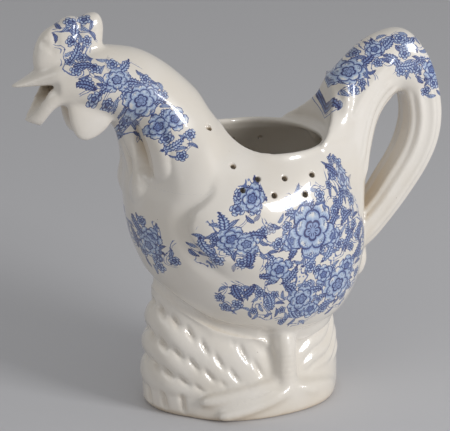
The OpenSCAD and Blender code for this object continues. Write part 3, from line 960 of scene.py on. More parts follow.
def rear_leaves(turn, z, place):
    """Long soft leaves that slant round the back."""
    leaf = z + LEAF_SLANT * (180 - turn) + 1.2 * np.sin(place / 5)
    wave = np.abs(np.sin(math.pi * leaf / LEAF_PITCH)) ** 0.9
    return step(turn, *LEAVES_BEGIN) * step(z, *LEAVES_Z) * (LEAF_H * wave - LEAF_SINK)


def plinth_relief(points, facing):
    """Tiers of short feathers in front of the legs, long soft leaves behind them, and the rim."""
    x = (points[:, 0] - PLINTH_X) / (PLINTH_L / 2)
    y = np.abs(points[:, 1]) / (PLINTH_W / 2)
    z = points[:, 2]
    angle = np.arctan2(y, x)
    turn = np.degrees(math.pi - angle)
    reach = np.hypot(x, y)
    out = np.stack([np.cos(angle) / PLINTH_L, np.sin(angle) * np.sign(points[:, 1]) / PLINTH_W], 1)
    out /= np.linalg.norm(out, axis=1)[:, None]
    outer = (facing[:, 0] * out[:, 0] + facing[:, 1] * out[:, 1] > 0.35) & (reach > 0.72)
    crest = read_off(PLINTH_CREST, turn)
    mask = outer * step(z, *RELIEF_Z) * fading(z, crest - 9, crest - 3)
    lip = ROLL_H * band(z - crest, -2.5, 3.4) - ROLL_GROOVE * band(z - crest, 4.5, 3.2)
    lip *= (reach > 0.62) * (turn < 150)
    lip *= 1 - band(points[:, 0], LEG_X, 9.5, 4) * (reach > 0.75)
    place = round_the_foot(turn)
    rise = front_tiers(turn, z, place) + rear_leaves(turn, z, place)
    rise *= 1 - step(turn, *PLAIN_TURN) * fading(z, *PLAIN_Z)
    return rise * mask + lip


SCUTE_PITCH, SCUTE_H, LEG_GROOVE = 3.4, 0.55, 0.3
# The heights between which the scales, and the groove in front of them, rise and fade.
SCUTES_Z = (20, 26, 36, 46)
LEG_GROOVE_Z = (17, 24, 50, 56)


def leg_relief(points, facing):
    """Rings of scales on the shanks."""
    left = mirrored(points)
    outward_y = -facing[:, 1] * np.where(points[:, 1] < 0, 1, -1)
    near = band(left[:, 0], LEG_X, 5.0, 4) * (outward_y > 0.3) * (left[:, 1] < -33)
    scutes = SCUTE_H * (np.abs(np.sin(math.pi * left[:, 2] / SCUTE_PITCH)) ** 0.7 - 0.6)
    groove = band(left[:, 0] - LEG_X, -5.4, 1.3) * (outward_y > 0) * (left[:, 1] < -30)
    return (near * plateau(left[:, 2], *SCUTES_Z) * scutes
            - LEG_GROOVE * groove * plateau(left[:, 2], *LEG_GROOVE_Z))


EYE = (-103.5, -15.0, 221.5)
# The eye's half length, half height and half depth, its tilt as a cosine and a sine, and how far
# the ball and the lid round it stand out.
EYE_HALF = (3.8, 2.8, 8)
EYE_TILT = (0.94, 0.34)
EYE_H, LID_H = 0.6, 0.3
COMB_GROOVES = [([(-94.6, -5, 251), (-96.5, -8, 245), (-98.5, -8, 238)], 3.4, 1.5),
                ([(-111.5, -5, 246.5), (-111, -8, 240), (-110.5, -8, 234)], 3.4, 1.1),
                ([(-119, -5, 238), (-115, -8, 235), (-111, -8, 231)], 3.0, 0.8)]


def head_relief(points):
    """The eye under its lid and the folds of the comb."""
    left = mirrored(points)
    offset = left - np.array(EYE)
    along_eye = offset[:, 0] * EYE_TILT[0] - offset[:, 2] * EYE_TILT[1]
    over_eye = offset[:, 0] * EYE_TILT[1] + offset[:, 2] * EYE_TILT[0]
    reach = np.sqrt((along_eye / EYE_HALF[0]) ** 2 + (over_eye / EYE_HALF[1]) ** 2
                    + (offset[:, 1] / EYE_HALF[2]) ** 2)
    rise = EYE_H * np.clip(1 - reach ** 2, 0, 1) ** 0.7
    rise += LID_H * band(reach, 1.35, 0.16)
    for line, width, depth in COMB_GROOVES:
        rise -= ridge(left, smooth_line(line, 12), width, depth, 0, 0.3, 1.2)
    return rise


def carve(mesh):
    """Moves the skin in and out along its own normals."""
    points = corners(mesh)
    facing = normals(mesh)
    rise = wing_relief(points, facing) + hackle_relief(points, facing)
    move(mesh, points + facing * rise[:, None])
    points = corners(mesh)
    facing = normals(mesh)
    rise = (feather_ridges(points) + plinth_relief(points, facing) + leg_relief(points, facing)
            + head_relief(points))
    move(mesh, points + facing * rise[:, None])


# Parting the skin into its sub-parts.

PRINTED = ("body_shell", "left_wing", "right_wing", "left_hackles", "right_hackles", "neck", "head",
           "comb", "tail", "handle")

HOLE_AXIS_Z = 115
DRILL_START = 90
# The cutter by its distance from the skin, outwards, and how much wider than the hole it is there.
HOLE_FLARE = [(-12, 0), (-0.9, 0), (-0.3, 0.25), (0.15, 0.75), (4, 1.5)]
# Each hole's place along the figure and its lean from upright: upper row, lower row, single one.
HOLES = [(-15.6, 40.4), (-2.4, 48.8), (14.2, 50.2), (32.4, 49.3),
         (-13.2, 54.3), (5.5, 59.2), (25.7, 60.3), (-25.8, 22)]


def drill(tree, x, lean, side):
    """A pierced hole's cutter, flared where it leaves the wall."""
    angle = math.radians(lean)
    ahead = np.array([0, side * math.sin(angle), math.cos(angle)])
    axis = np.array([x, 0, HOLE_AXIS_Z])
    hit = tree.ray_cast(Vector(axis + ahead * DRILL_START), Vector(-ahead))[0]
    reach = (np.array(hit) - axis) @ ahead
    path = [axis + ahead * (reach + place) for place, _ in HOLE_FLARE]
    return tube("drill", path, [HOLE_D / 2 + wider for _, wider in HOLE_FLARE])


def pierced(thing):
    """The skin with its sixteen pierced holes."""
    tree = tree_of(thing)
    drills = [drill(tree, x, lean, side) for side in (-1, 1) for x, lean in HOLES]
    return combined(thing, joined("drills", drills), "DIFFERENCE")


def slots(thing, inner):
    """Gives a thing its own glaze's slot and the plain glaze's, its faces all in one of them."""
    thing.data.materials.clear()
    for _ in range(2):
        thing.data.materials.append(None)
    thing.data.polygons.foreach_set("material_index", [inner] * len(thing.data.polygons))


def region(outline, y_low, y_high, core=None):
    """A cutter with an outline in the side view, less the core that it leaves alone."""
    cutter = prism("region", outline, y_low, y_high)
    if core is not None:
        combined(cutter, core, "DIFFERENCE", keep_other=True)
    slots(cutter, 1)
    return cutter


COMB_REGION = [(-150, 226), (-123, 226), (-112, 226.5), (-98, 230.5), (-76, 232), (-70, 232),
               (-70, 270), (-150, 270)]
UPPER_BEAK_REGION = [(-111.5, 211.7), (-150, 211.7), (-150, 228), (-111.5, 228)]
LOWER_BEAK_REGION = [(-111.5, 211.7), (-150, 211.7), (-150, 180), (-111.5, 180)]
WATTLE_REGION = [(-111.4, 204), (-96, 199.5), (-84, 196), (-76, 190), (-76, 172), (-111.4, 172)]
HACKLE_REGION = [(-82, 197), (-64, 197), (-52, 182), (-48, 165), (-50, 147), (-62, 138),
                 (-90, 134), (-90, 180)]
WING_REGION = [(-29.0, 156), (-30.0, 152.8), (-33.4, 149), (-39.4, 144.3), (-43.4, 139.3),
               (-45, 132), (-44, 125.7), (-41.8, 120.6), (-38, 114.3), (-33.4, 108.6),
               (-29, 104.2), (-23, 99.5), (-13, 94), (-2, 89.5), (12, 87), (40, 88), (66, 94),
               (76, 106), (76, 122), (40, 133), (10, 138), (-14, 143)]
TUFT_REGION = [(77, 64), (110, 64), (110, 93), (77, 93)]
HANDLE_REGION = [(97, 250), (97, 223.5), (105, 186), (100, 175), (95, 160), (90, 145), (86, 134),
                 (84.5, 128), (83.5, 110), (81.5, 97), (79, 93), (160, 93), (160, 250)]
TAIL_REGION = [(37, 197.5), (81.5, 126), (110, 126), (120, 250), (37, 260)]
HEAD_REGION = [(-74, 250), (-74, 231), (-80, 184), (-80, 150), (-160, 150), (-160, 250)]
NECK_REGION = [(-20, 211), (-26, 202), (-69, 138), (-75, 129), (-120, 129), (-120, 250), (-20, 250)]


# How far cutters reach to each side, over the comb and the beak, the handle, the trunk, and all;
# the wings' cutters begin this far from the middle.
NARROW_Y, HANDLE_Y, TRUNK_Y, FULL_Y = 30, 40, 60, 80
WING_INNER_Y = 15
# How far inside the skin the cores lie that side pieces and the plinth leave alone, and how much
# thicker than a leg its cutter is.
CORE_INSET, BELLY_INSET, LEG_MARGIN = 0.9, 0.3, 0.9
LEG_VOXEL = 1.2
PLINTH_MARGIN = 15


def plinth_region(core):
    """The plinth's cutter, up to its rim and outside the belly."""
    angle = circle(180)
    crest = read_off(PLINTH_CREST, turn_of(angle))
    rings = [spots(PLINTH_X + (PLINTH_L / 2 + PLINTH_MARGIN) * np.cos(angle) * share,
                   (PLINTH_W / 2 + PLINTH_MARGIN) * np.sin(angle) * share, level)
             for share, level in ((1, -5), (1, crest + 1.0), (0.3, crest + 3.0))]
    cutter = combined(lofted("plinth_region", rings), core, "DIFFERENCE", keep_other=True)
    slots(cutter, 1)
    return cutter


def leg_region(side):
    """A leg's cutter, a little thicker than the leg."""
    cutter = fused(joined("leg_region", leg_forms(side, LEG_MARGIN)), LEG_VOXEL)
    slots(cutter, 1)
    return cutter


# Faces less than this inside the outer skin count as the outside's.
INNER_DEPTH = 2.0


def bare_inside(skin):
    """Puts the faces of the hollow and of the holes' walls in the plain glaze's slot."""
    slots(skin, 0)
    mesh = skin.data
    count = len(mesh.polygons)
    centre = read(mesh.polygons, "center", 3)
    facing = read(mesh.polygons, "normal", 3)
    deepest = np.full(count, 1e9)
    inside = np.zeros(count, bool)
    for at in np.linspace(1, TAIL_END - 1, 60):
        station = between(SPINE, at)
        axis = np.array([(station[0] + station[2]) / 2, 0, (station[1] + station[3]) / 2])
        half = max(station[4], math.hypot(station[0] - station[2], station[1] - station[3]) / 2)
        away = centre - axis
        share = np.linalg.norm(away, axis=1) / (half - INNER_DEPTH)
        deeper = share < deepest
        deepest[deeper] = share[deeper]
        inside[deeper] = ((away * facing).sum(1)[deeper] < 0) & (share[deeper] < 1)
    mesh.polygons.foreach_set("material_index", inside.astype(int))


def parted(skin, rim_drops):
    """The sub-parts cut out of the skin one after another; what is left is the body."""
    core = trunk(rim_drops, CORE_INSET)
    belly = trunk(rim_drops, BELLY_INSET)
    regions = [(name, region(outline, -NARROW_Y, NARROW_Y))
               for name, outline in (("comb", COMB_REGION), ("upper_beak", UPPER_BEAK_REGION),
                                     ("lower_beak", LOWER_BEAK_REGION))]
    for kind, outline, near in (("wattle", WATTLE_REGION, 0), ("hackles", HACKLE_REGION, 0),
                                ("wing", WING_REGION, WING_INNER_Y)):
        regions.append(("left_" + kind, region(outline, -FULL_Y, -near, core)))
        regions.append(("right_" + kind, region(outline, near, FULL_Y, core)))
    regions += [("rear_tuft", region(TUFT_REGION, -NARROW_Y, NARROW_Y, core)),
                ("left_leg", leg_region(-1)),
                ("right_leg", leg_region(1)),
                ("plinth", plinth_region(belly))]
    regions += [(name, region(outline, -reach, reach))
                for name, outline, reach in (("handle", HANDLE_REGION, HANDLE_Y),
                                             ("tail", TAIL_REGION, TRUNK_Y),
                                             ("head", HEAD_REGION, TRUNK_Y),
                                             ("neck", NECK_REGION, FULL_Y))]
    drop(core)
    drop(belly)
    rest = skin
    found = {}
    for name, cutter in regions:
        piece = copied(rest, name)
        combined(piece, cutter, "INTERSECT", keep_other=True)
        combined(rest, cutter, "DIFFERENCE")
        found[name] = piece
    found["body_shell"] = rest
    return found


def largest_bit(thing):
    """Drops the crumbs that a cut leaves beside a piece."""
    mesh = thing.data
    pairs, _ = edge_table(mesh)
    label = np.arange(len(mesh.vertices))
    while True:
        low = np.minimum(label[pairs[:, 0]], label[pairs[:, 1]])
        fresh = label.copy()
        np.minimum.at(fresh, pairs[:, 0], low)
        np.minimum.at(fresh, pairs[:, 1], low)
        fresh = fresh[fresh]
        if np.array_equal(fresh, label):
            break
        label = fresh
    kept = np.bincount(label).argmax()
    if (label == kept).all():
        return
    shape = bmesh.new()
    shape.from_mesh(mesh)
    shape.verts.ensure_lookup_table()
    crumbs = [shape.verts[k] for k in np.nonzero(label != kept)[0]]
    bmesh.ops.delete(shape, geom=crumbs, context="VERTS")
    shape.to_mesh(mesh)
    shape.free()


rim_drops = rim_drop()
skin = whole_skin(rim_drops)
soften(skin.data, 6, 12)
carve(skin.data)
soften(skin.data, 2, 0)
skin = pierced(skin)
bare_inside(skin)
whole = copied(skin, "whole")
pieces = parted(skin, rim_drops)


def seamless(piece, tree, mesh, facing):
    """Shades a piece's outside as the whole skin is shaded, so that its joints don't show."""
    own = piece.data
    own.validate()
    own.shade_smooth()
    loops = read(own.loops, "vertex_index", 1, int)
    inner = read(own.polygons, "material_index", 1, int)
    cut = np.repeat(inner, read(own.polygons, "loop_total", 1, int)) == 1
    on_cut = np.zeros(len(own.vertices), bool)
    on_cut[loops[cut]] = True
    on_skin = np.zeros(len(own.vertices), bool)
    on_skin[loops[~cut]] = True
    seam = on_cut & on_skin
    pairs, _ = edge_table(own)
    sharp = own.attributes.new("sharp_edge", "BOOLEAN", "EDGE")
    sharp.data.foreach_set("value", seam[pairs[:, 0]] & seam[pairs[:, 1]])
    custom = np.zeros((len(loops), 3))
    known = {}
    points = corners(own)
    for place in np.nonzero(~cut & seam[loops])[0]:
        point = loops[place]
        if point not in known:
            spot, _, face, _ = tree.find_nearest(Vector(points[point]))
            ring = list(mesh.polygons[face].vertices)
            shares = poly_3d_calc([mesh.vertices[v].co for v in ring], spot)
            known[point] = np.array(shares) @ facing[ring]
        custom[place] = known[point]
    own.normals_split_custom_set([tuple(row) for row in custom])


whole_tree = tree_of(whole)
whole_facing = normals(whole.data)
for name, piece in pieces.items():
    piece.name = name + "_glazed"
    largest_bit(piece)
    seamless(piece, whole_tree, whole.data, whole_facing)
    move(piece.data, (corners(piece.data) + (SET_X, 0, 0)) * MM)
    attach(piece, "root")
    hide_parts(name)
    "printed_glaze" if name in PRINTED else "cream_glaze"
drop(whole)


# Materials, stage, light and camera.


def node_tree(name):
    """A new material and its shader."""
    material = bpy.data.materials.new(name)
    material.use_nodes = True
    return material, material.node_tree, material.node_tree.nodes["Principled BSDF"]


class Wire:
    """A value inside a material; arithmetic on it adds nodes."""

    def __init__(self, tree, socket):
        self.tree = tree
        self.socket = socket

    def act(self, operation, *others):
        """One math node on this value and others."""
        inputs = dict(enumerate((self, *others)))
        return Wire(self.tree, add(self.tree, "Math", inputs, operation=operation).outputs[0])

    def __add__(self, other):
        return self.act("ADD", other)

    def __sub__(self, other):
        return self.act("SUBTRACT", other)

    def __mul__(self, other):
        return self.act("MULTIPLY", other)

    def __truediv__(self, other):
        return self.act("DIVIDE", other)

    def __rtruediv__(self, other):
        return (self ** -1) * other

    def __pow__(self, other):
        return self.act("POWER", other)

    def __neg__(self):
        return self * -1

    def absolute(self):
        """The value without its sign."""
        return self.act("ABSOLUTE")

    def rise(self, low, high):
        """0 below low and 1 above high, smooth between."""
        inputs = {"Value": self, "From Min": low, "From Max": high}
        node = add(self.tree, "MapRange", inputs, interpolation_type="SMOOTHSTEP")
        return Wire(self.tree, node.outputs[0])

    def fall(self, low, high):
        """1 below low and 0 above high, smooth between."""
        return -self.rise(low, high) + 1

    def line(self, width):
        """1 where the value is near 0, as a soft line."""
        return self.absolute().fall(width * 0.5, width * 1.3)


def feed(tree, socket, value):
    """Links a wire or a socket, or sets a constant or a colour."""
    if isinstance(value, Wire):
        value = value.socket
    if isinstance(value, bpy.types.NodeSocket):
        tree.links.new(value, socket)
    else:
        socket.default_value = (*value, 1) if isinstance(value, tuple) else value


def add(tree, kind, inputs, **settings):
    """A new node with its settings and what goes into it."""
    node = tree.nodes.new("ShaderNode" + kind)
    for title, value in settings.items():
        setattr(node, title, value)
    for title, value in inputs.items():
        feed(tree, node.inputs[title], value)
    return node


def split(tree, vector):
    """The three parts of a vector."""
    return [Wire(tree, out) for out in add(tree, "SeparateXYZ", {0: vector}).outputs]


def bundle(tree, x, y, z=0.0):
    """A vector of three parts."""
    return add(tree, "CombineXYZ", {0: x, 1: y, 2: z}).outputs[0]


def mixed(tree, share, first, second, way="MIX"):
    """A colour between two, by a share."""
    inputs = {"Factor": share, "A": first, "B": second}
    return add(tree, "Mix", inputs, data_type="RGBA", blend_type=way).outputs["Result"]


def noise(tree, vector, scale, detail=2.0):
    """Soft noise from 0 to 1."""
    node = add(tree, "TexNoise", {"Vector": vector, "Scale": scale, "Detail": detail})
    return Wire(tree, node.outputs[0])


# The print's inks, as linear colours: pale wash, half tone and line.
WASH = (0.50, 0.60, 0.74)
HALF_TONE = (0.13, 0.20, 0.44)
LINE_INK = (0.020, 0.024, 0.12)

# The print is laid out on two sheets that share one plane: one wrapped round the body by its
# girth, and one laid flat against the sides of head, neck, tail and handle. The second one lies
# this far to the right of the first.
SHEET = 1000
GIRTH_R = 58
GIRTH_X = 12
# How far the flat sheet is drawn down per millimetre across, so that it also covers the tops.
SIDE_WRAP = 0.6
# The girth sheet covers all below the first height, and the back up to the second one between
# these two places; the sheets change over within this much of either.
BODY_TOP, BACK_TOP = 150, 168
BACK_FROM, BACK_TO = -32, 64
SHEET_EDGE = 0.1
PRINT_SHAKE = 0.7
FULL_TURN = 6.283
# Printed spots: centre and radius in millimetres.
SIDE_SPOTS = [(-99, 237, 13), (-100, 219, 9), (-89, 206, 13), (-77, 202, 15), (-66, 188, 16),
              (-54, 173, 12), (-45, 158, 9), (57, 180, 8), (68, 196, 15), (84, 204, 14),
              (98, 207, 14), (112, 202, 13), (121, 191, 11), (124, 180, 7)]
BODY_SPOTS = [(17, 123, 26), (42, 124, 18), (47, 146, 13), (-24, 121, 16), (-38, 128, 9),
              (-42, 115, 10), (-2, 103, 14), (-23, 147, 9), (12, 78, 19), (36, 84, 21),
              (-12, 82, 16), (-31, 83, 12), (52, 106, 14), (-75, 113, 17)]
SPOTS = BODY_SPOTS + [(x + SHEET, z, radius) for x, z, radius in SIDE_SPOTS]
# The large open flowers: centre, radius and turn.
LARGE_BLOSSOMS = [(17, 123, 18.5, 0.4), (12, 79, 11, 1.1), (38, 83, 13, 2.0), (-75, 113, 8.5, 0.2),
                  (-24, 121, 8, 0.8), (SHEET - 66, 189, 11.5, 0.9), (SHEET - 79, 204, 9, 2.2),
                  (SHEET + 70, 198, 11.5, 1.7)]


def group(name, inputs, build):
    """A node group made by a function from its input values."""
    tree = bpy.data.node_groups.new(name, "ShaderNodeTree")
    for title in inputs:
        tree.interface.new_socket(title, in_out="INPUT", socket_type="NodeSocketFloat")
    start = tree.nodes.new("NodeGroupInput")
    results = build(tree, *[Wire(tree, start.outputs[title]) for title in inputs])
    for title in results:
        tree.interface.new_socket(title, in_out="OUTPUT", socket_type="NodeSocketFloat")
    end = tree.nodes.new("NodeGroupOutput")
    for title, value in results.items():
        feed(tree, end.inputs[title], value)
    return tree


def use(tree, shared, *values):
    """The results of a node group for some values."""
    node = tree.nodes.new("ShaderNodeGroup")
    node.node_tree = shared
    for socket, value in zip(node.inputs, values):
        feed(tree, socket, value)
    return [Wire(tree, out) for out in node.outputs]


def depth(tree, u, v):
    """How deep a place lies inside the printed spots: 1 in a middle, 0 at an edge."""
    best = None
    for x, z, radius in SPOTS:
        reach = ((u - x) * (u - x) + (v - z) * (v - z)) ** 0.5
        own = -reach / radius + 1
        best = own if best is None else best.act("MAXIMUM", own)
    return {"depth": best}


def cells(tree, u, v, size, shift):
    """Scattered places: offset from the nearest one, its own place, and two random values."""
    place = bundle(tree, u / size + shift, v / size + shift)
    node = add(tree, "TexVoronoi", {"Vector": place, "Scale": 1.0, "Randomness": 0.7},
               voronoi_dimensions="2D")
    spot = split(tree, node.outputs["Position"])
    own_u = (spot[0] - shift) * size
    own_v = (spot[1] - shift) * size
    chance = add(tree, "SeparateColor", {0: node.outputs["Color"]}).outputs
    return u - own_u, v - own_v, own_u, own_v, Wire(tree, chance[0]), Wire(tree, chance[1])


def inked(tree, colour, tone, cover):
    """A motif over a ground: its tone runs from the bare ground over wash to line ink."""
    ink = mixed(tree, tone.rise(0.0, 0.25), colour, WASH)
    ink = mixed(tree, tone.rise(0.15, 0.55), ink, HALF_TONE)
    ink = mixed(tree, tone.rise(0.5, 1.0), ink, LINE_INK)
    return mixed(tree, cover, colour, ink)


def flower(tree, du, dv, radius, spin):
    """An open flower with three whorls of five petals."""
    fine = 0.35 / radius.act("MINIMUM", 8.0)
    reach = ((du * du + dv * dv) ** 0.5) / radius
    turn = dv.act("ARCTAN2", du) + spin
    lobe = (turn * 2.5).act("COSINE").absolute() ** 0.5
    cross = (turn * 2.5).act("SINE").absolute() ** 0.5
    edge = lobe * 0.36 + 0.6 + (turn * 19).act("SINE") * 0.022
    middle = cross * 0.22 + 0.42
    core = lobe * 0.12 + 0.2
    past_middle, past_core = reach - middle, reach - core
    in_middle = past_middle.fall(-0.01, 0.01)
    in_core = past_core.fall(-0.01, 0.01)
    outer_tone = -past_middle.rise(0.0, 0.32) * 0.36 + 0.38
    middle_tone = -past_core.rise(0.0, 0.3) * 0.36 + 0.4
    tone = outer_tone * (-in_middle + 1) + middle_tone * in_middle * (-in_core + 1) + in_core * 0.4
    hatch = (turn * 52).act("SINE").rise(0.2, 0.9) * past_middle.absolute().fall(0.04, 0.2)
    lines = (reach - edge + 0.03).line(fine)
    for stroke in (past_middle.line(fine) * 0.8, past_core.line(fine) * 0.8,
                   lobe.fall(0.12, 0.34) * past_middle.rise(0.0, 0.06) * 0.8,
                   (turn * 11).act("SINE").rise(0.0, 0.6) * (reach - 0.14).line(0.06)):
        lines = lines.act("MAXIMUM", stroke)
    return {"tone": tone + hatch * 0.16 + lines * 0.7, "cover": (reach - edge).fall(-0.02, 0.02)}


def blossoms(tree, u, v, size, radius, least, shift):
    """Scattered flowers."""
    du, dv, own_u, own_v, chance, other = cells(tree, u, v, size, shift)
    tone, inside = use(tree, FLOWER, du, dv, (other * 0.35 + 0.75) * radius, chance * FULL_TURN)
    shown = use(tree, DEPTH, own_u, own_v)[0].rise(least, least + 0.02)
    return {"tone": tone + 0.08, "cover": inside * shown}


def leaves(tree, u, v, size, length, least, shift):
    """Pointed leaves with a midrib and slanting veins."""
    du, dv, own_u, own_v, chance, other = cells(tree, u, v, size, shift)
    angle = chance * FULL_TURN
    cosine, sine = angle.act("COSINE"), angle.act("SINE")
    ahead = (du * cosine + dv * sine) / length
    aside = (dv * cosine - du * sine) / length
    bend = aside - ahead * ahead * 0.3 + 0.08
    half = (-(ahead * ahead) + 1).act("MAXIMUM", 0.0) * 0.3 + (ahead * 30).act("SINE") * 0.04
    inside = (bend.absolute() - half).fall(-0.03, 0.05)
    inside = inside * ahead.absolute().fall(0.94, 1.0)
    veins = ((ahead - bend.absolute() * 0.9) * 30).act("SINE").rise(0.0, 0.9)
    tone = (other * 0.34 + 0.16 + veins * 0.34 + bend.line(0.05) * 0.6
            + (bend.absolute() - half + 0.06).line(0.05) * 0.5)
    shown = use(tree, DEPTH, own_u, own_v)[0].rise(least, least + 0.02)
    return {"tone": tone, "cover": inside * shown}


def twigs(tree, u, v, least):
    """Thin curling stems with small berries."""
    field = noise(tree, bundle(tree, u, v), 0.075, 0.5)
    stem = (field - 0.5).line(0.010).act("MAXIMUM", (field - 0.56).line(0.008))
    du, dv, _, _, chance, _ = cells(tree, u, v, 2.7, 7.3)
    near_stem = (field - 0.52).absolute().fall(0.03, 0.05)
    berry = ((du * du + dv * dv) ** 0.5).fall(0.5, 0.75)
    berry = berry * chance.rise(0.45, 0.5) * near_stem
    shown = use(tree, DEPTH, u, v)[0].rise(least, least + 0.1)
    return {"tone": berry * 0.3 + stem * 0.5 + 0.2, "cover": stem.act("MAXIMUM", berry * 0.9) * shown}


DEPTH = group("depth", ("u", "v"), depth)
FLOWER = group("flower", ("du", "dv", "radius", "spin"), flower)
SCATTER = ("u", "v", "size", "reach", "least", "shift")
BLOSSOMS = group("blossoms", SCATTER, blossoms)
LEAVES = group("leaves", SCATTER, leaves)
TWIGS = group("twigs", ("u", "v", "least"), twigs)
# The scattered layers, from the lowest: kind, spacing, size, least depth and shift.
LAYERS = [(LEAVES, 7.2, 4.0, -0.02, 2.7), (BLOSSOMS, 10.5, 4.2, 0.02, 5.1),
          (LEAVES, 13.0, 8.5, 0.2, 3.9), (BLOSSOMS, 24.0, 8.5, 0.3, 1.3)]


def printed(tree, ground, u, v):
    """The whole print over a ground colour."""
    colour = inked(tree, ground, *use(tree, TWIGS, u, v, -0.12))
    for kind, spacing, size, least, shift in LAYERS:
        colour = inked(tree, colour, *use(tree, kind, u, v, spacing, size, least, shift))
    for x, z, radius, spin in LARGE_BLOSSOMS:
        colour = inked(tree, colour, *use(tree, FLOWER, u - x, v - z, radius, spin))
    return colour


def sheet_place(x, y, z):
    """Where on the print's sheets a place of the jug lies."""
    low = z.fall(BODY_TOP - SHEET_EDGE, BODY_TOP + SHEET_EDGE)
    back = (z.fall(BACK_TOP - SHEET_EDGE, BACK_TOP + SHEET_EDGE)
            * x.rise(BACK_FROM - SHEET_EDGE, BACK_FROM + SHEET_EDGE)
            * x.fall(BACK_TO - SHEET_EDGE, BACK_TO + SHEET_EDGE))
    on_body = low.act("MAXIMUM", back)
    off_body = -on_body + 1
    girth = (x - GIRTH_X).act("ARCTAN2", y.absolute()) * GIRTH_R
    return girth * on_body + (x + SHEET) * off_body, z - y.absolute() * SIDE_WRAP * off_body


# The body's two creams, the tint where the glaze pools, which also paints shade into hollows and
# inside the jug, the specks and the bare foot.
CREAM = (0.80, 0.755, 0.69)
WARM_CREAM = (0.77, 0.715, 0.635)
POOLED_GLAZE_AND_SHADE = (0.80, 0.70, 0.56)
SPECK = (0.16, 0.10, 0.06)
BISQUE = (0.58, 0.47, 0.36)
POOL_AND_SHADE_REACH = 0.03
SPECK_SCALE, SPECK_STRENGTH = 0.06, 0.55
BARE_FOOT_Z = (0.6, 1.2)
RIPPLE_SCALE, RIPPLE_STRENGTH, RIPPLE_DEPTH = 0.11, 0.12, 0.0004


def glaze(name, with_print):
    """Clear glaze over a pale body, with or without the print under it."""
    material, tree, shader = node_tree(name)
    coordinates = tree.nodes.new("ShaderNodeTexCoord").outputs["Object"]
    x, y, z = (part * (1 / MM) for part in split(tree, coordinates))
    x = x - SET_X
    mm = bundle(tree, x, y, z)
    colour = mixed(tree, noise(tree, mm, 0.03, 3.0).rise(0.35, 0.7), CREAM, WARM_CREAM)
    if with_print:
        shake_u = (noise(tree, mm, 0.8, 1.0) - 0.5) * PRINT_SHAKE
        shake_v = (noise(tree, mm, 0.9, 1.0) - 0.5) * PRINT_SHAKE
        u, v = sheet_place(x, y, z)
        colour = printed(tree, colour, u + shake_u, v + shake_v)
    # Painted shade, partly the tint of pooled glaze: creases, hollows and the inside of the jug,
    # where nearby surfaces hide the light, are darkened and warmed.
    hidden = add(tree, "AmbientOcclusion", {"Distance": POOL_AND_SHADE_REACH}, samples=6)
    pool_and_shade = Wire(tree, hidden.outputs["AO"]).fall(0.1, 0.75)
    colour = mixed(tree, 1.0, colour, mixed(tree, pool_and_shade, (1, 1, 1), POOLED_GLAZE_AND_SHADE), "MULTIPLY")
    speck = add(tree, "TexVoronoi", {"Vector": mm, "Scale": SPECK_SCALE})
    dots = Wire(tree, speck.outputs["Distance"]).fall(0.014, 0.026)
    colour = mixed(tree, dots * SPECK_STRENGTH, colour, SPECK)
    foot = z.fall(*BARE_FOOT_Z)
    feed(tree, shader.inputs["Base Color"], mixed(tree, foot, colour, BISQUE))
    feed(tree, shader.inputs["Roughness"], foot * 0.5 + 0.3)
    shader.inputs["Coat Weight"].default_value = 1.0
    shader.inputs["Coat Roughness"].default_value = 0.035
    ripple = add(tree, "Bump", {"Strength": RIPPLE_STRENGTH, "Distance": RIPPLE_DEPTH,
                                "Height": noise(tree, mm, RIPPLE_SCALE, 2.0)})
    feed(tree, shader.inputs["Coat Normal"], ripple.outputs[0])
    return material


glazes = {True: glaze("printed_glaze", True), False: glaze("cream_glaze", False)}
for name, piece in pieces.items():
    piece.data.materials[0] = glazes[name in PRINTED]
    piece.data.materials[1] = glazes[False]


# The stage, in metres: the floor's size and paint, and each lamp's name, place, power and size.
FLOOR_SIZE = 12
FLOOR_PAINT = (0.62, 0.62, 0.64, 1)
FLOOR_ROUGHNESS = 0.7
LAMP_AIM = Vector((0, 0, 0.12))
LAMPS = [("key", Vector((0.95, -1.15, 0.62)), 14, 0.5, 0.55),
         ("fill", Vector((-1.2, -0.6, 0.9)), 1.5, 0.8, 0.8)]
SKY_STRENGTH = 0.38


def floor_piece():
    """A wide pale floor."""
    bpy.ops.mesh.primitive_plane_add(size=FLOOR_SIZE, location=(0, 0, 0))
    floor = bpy.context.object
    floor.name = "floor"
    material, _, shader = node_tree("floor_paint")
    shader.inputs["Base Color"].default_value = FLOOR_PAINT
    shader.inputs["Roughness"].default_value = FLOOR_ROUGHNESS
    floor.data.materials.append(material)


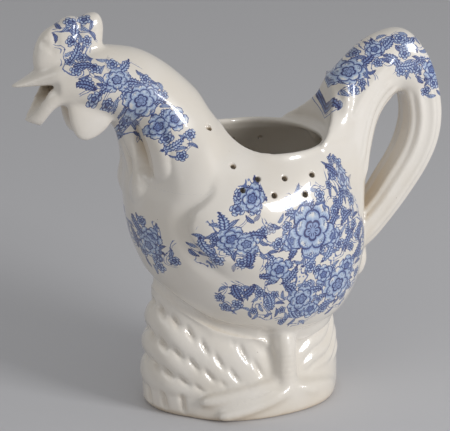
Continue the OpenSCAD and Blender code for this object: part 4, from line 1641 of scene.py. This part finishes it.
def lamp(name, place, power, width, height):
    """A soft box pointed at the jug."""
    light = bpy.data.lights.new(name, "AREA")
    light.shape = "RECTANGLE"
    light.size = width
    light.size_y = height
    light.energy = power
    thing = bpy.data.objects.new(name, light)
    thing.location = place
    thing.rotation_euler = (LAMP_AIM - place).to_track_quat("-Z", "Y").to_euler()
    bpy.context.scene.collection.objects.link(thing)


# The photograph's view: where the camera looks and from how far, the scale at that place in
# pixels per millimetre, and the picture's width and shift in pixels.
VIEW_AZIMUTH, VIEW_ELEVATION = math.radians(-20), math.radians(20)
VIEW_TARGET = Vector((-0.00315, 0, 0.117))
VIEW_DISTANCE = 1.3
PX_PER_MM = 1.645
FRAME_W = 450
SHIFT_X_PX, SHIFT_Y_PX = -3, 0.5
SENSOR_W = 36
NEAREST = 0.05


def camera():
    """The camera at the photograph's place."""
    lens = bpy.data.cameras.new("camera")
    lens.sensor_width = SENSOR_W
    lens.lens = PX_PER_MM * VIEW_DISTANCE / MM / FRAME_W * SENSOR_W
    lens.shift_x = SHIFT_X_PX / FRAME_W
    lens.shift_y = SHIFT_Y_PX / FRAME_W
    lens.clip_start = NEAREST
    thing = bpy.data.objects.new("camera", lens)
    ahead = Vector((-math.sin(VIEW_AZIMUTH) * math.cos(VIEW_ELEVATION),
                    math.cos(VIEW_AZIMUTH) * math.cos(VIEW_ELEVATION),
                    -math.sin(VIEW_ELEVATION)))
    thing.location = VIEW_TARGET - ahead * VIEW_DISTANCE
    thing.rotation_euler = ahead.to_track_quat("-Z", "Y").to_euler()
    bpy.context.scene.collection.objects.link(thing)
    bpy.context.scene.camera = thing


def world():
    """Even soft light from all round."""
    sky = bpy.data.worlds.new("studio")
    bpy.context.scene.world = sky
    sky.use_nodes = True
    background = sky.node_tree.nodes["Background"]
    background.inputs["Color"].default_value = (1, 1, 1, 1)
    background.inputs["Strength"].default_value = SKY_STRENGTH


floor_piece()
for row in LAMPS:
    lamp(*row)
world()
camera()
bpy.context.scene.view_settings.view_transform = "Standard"
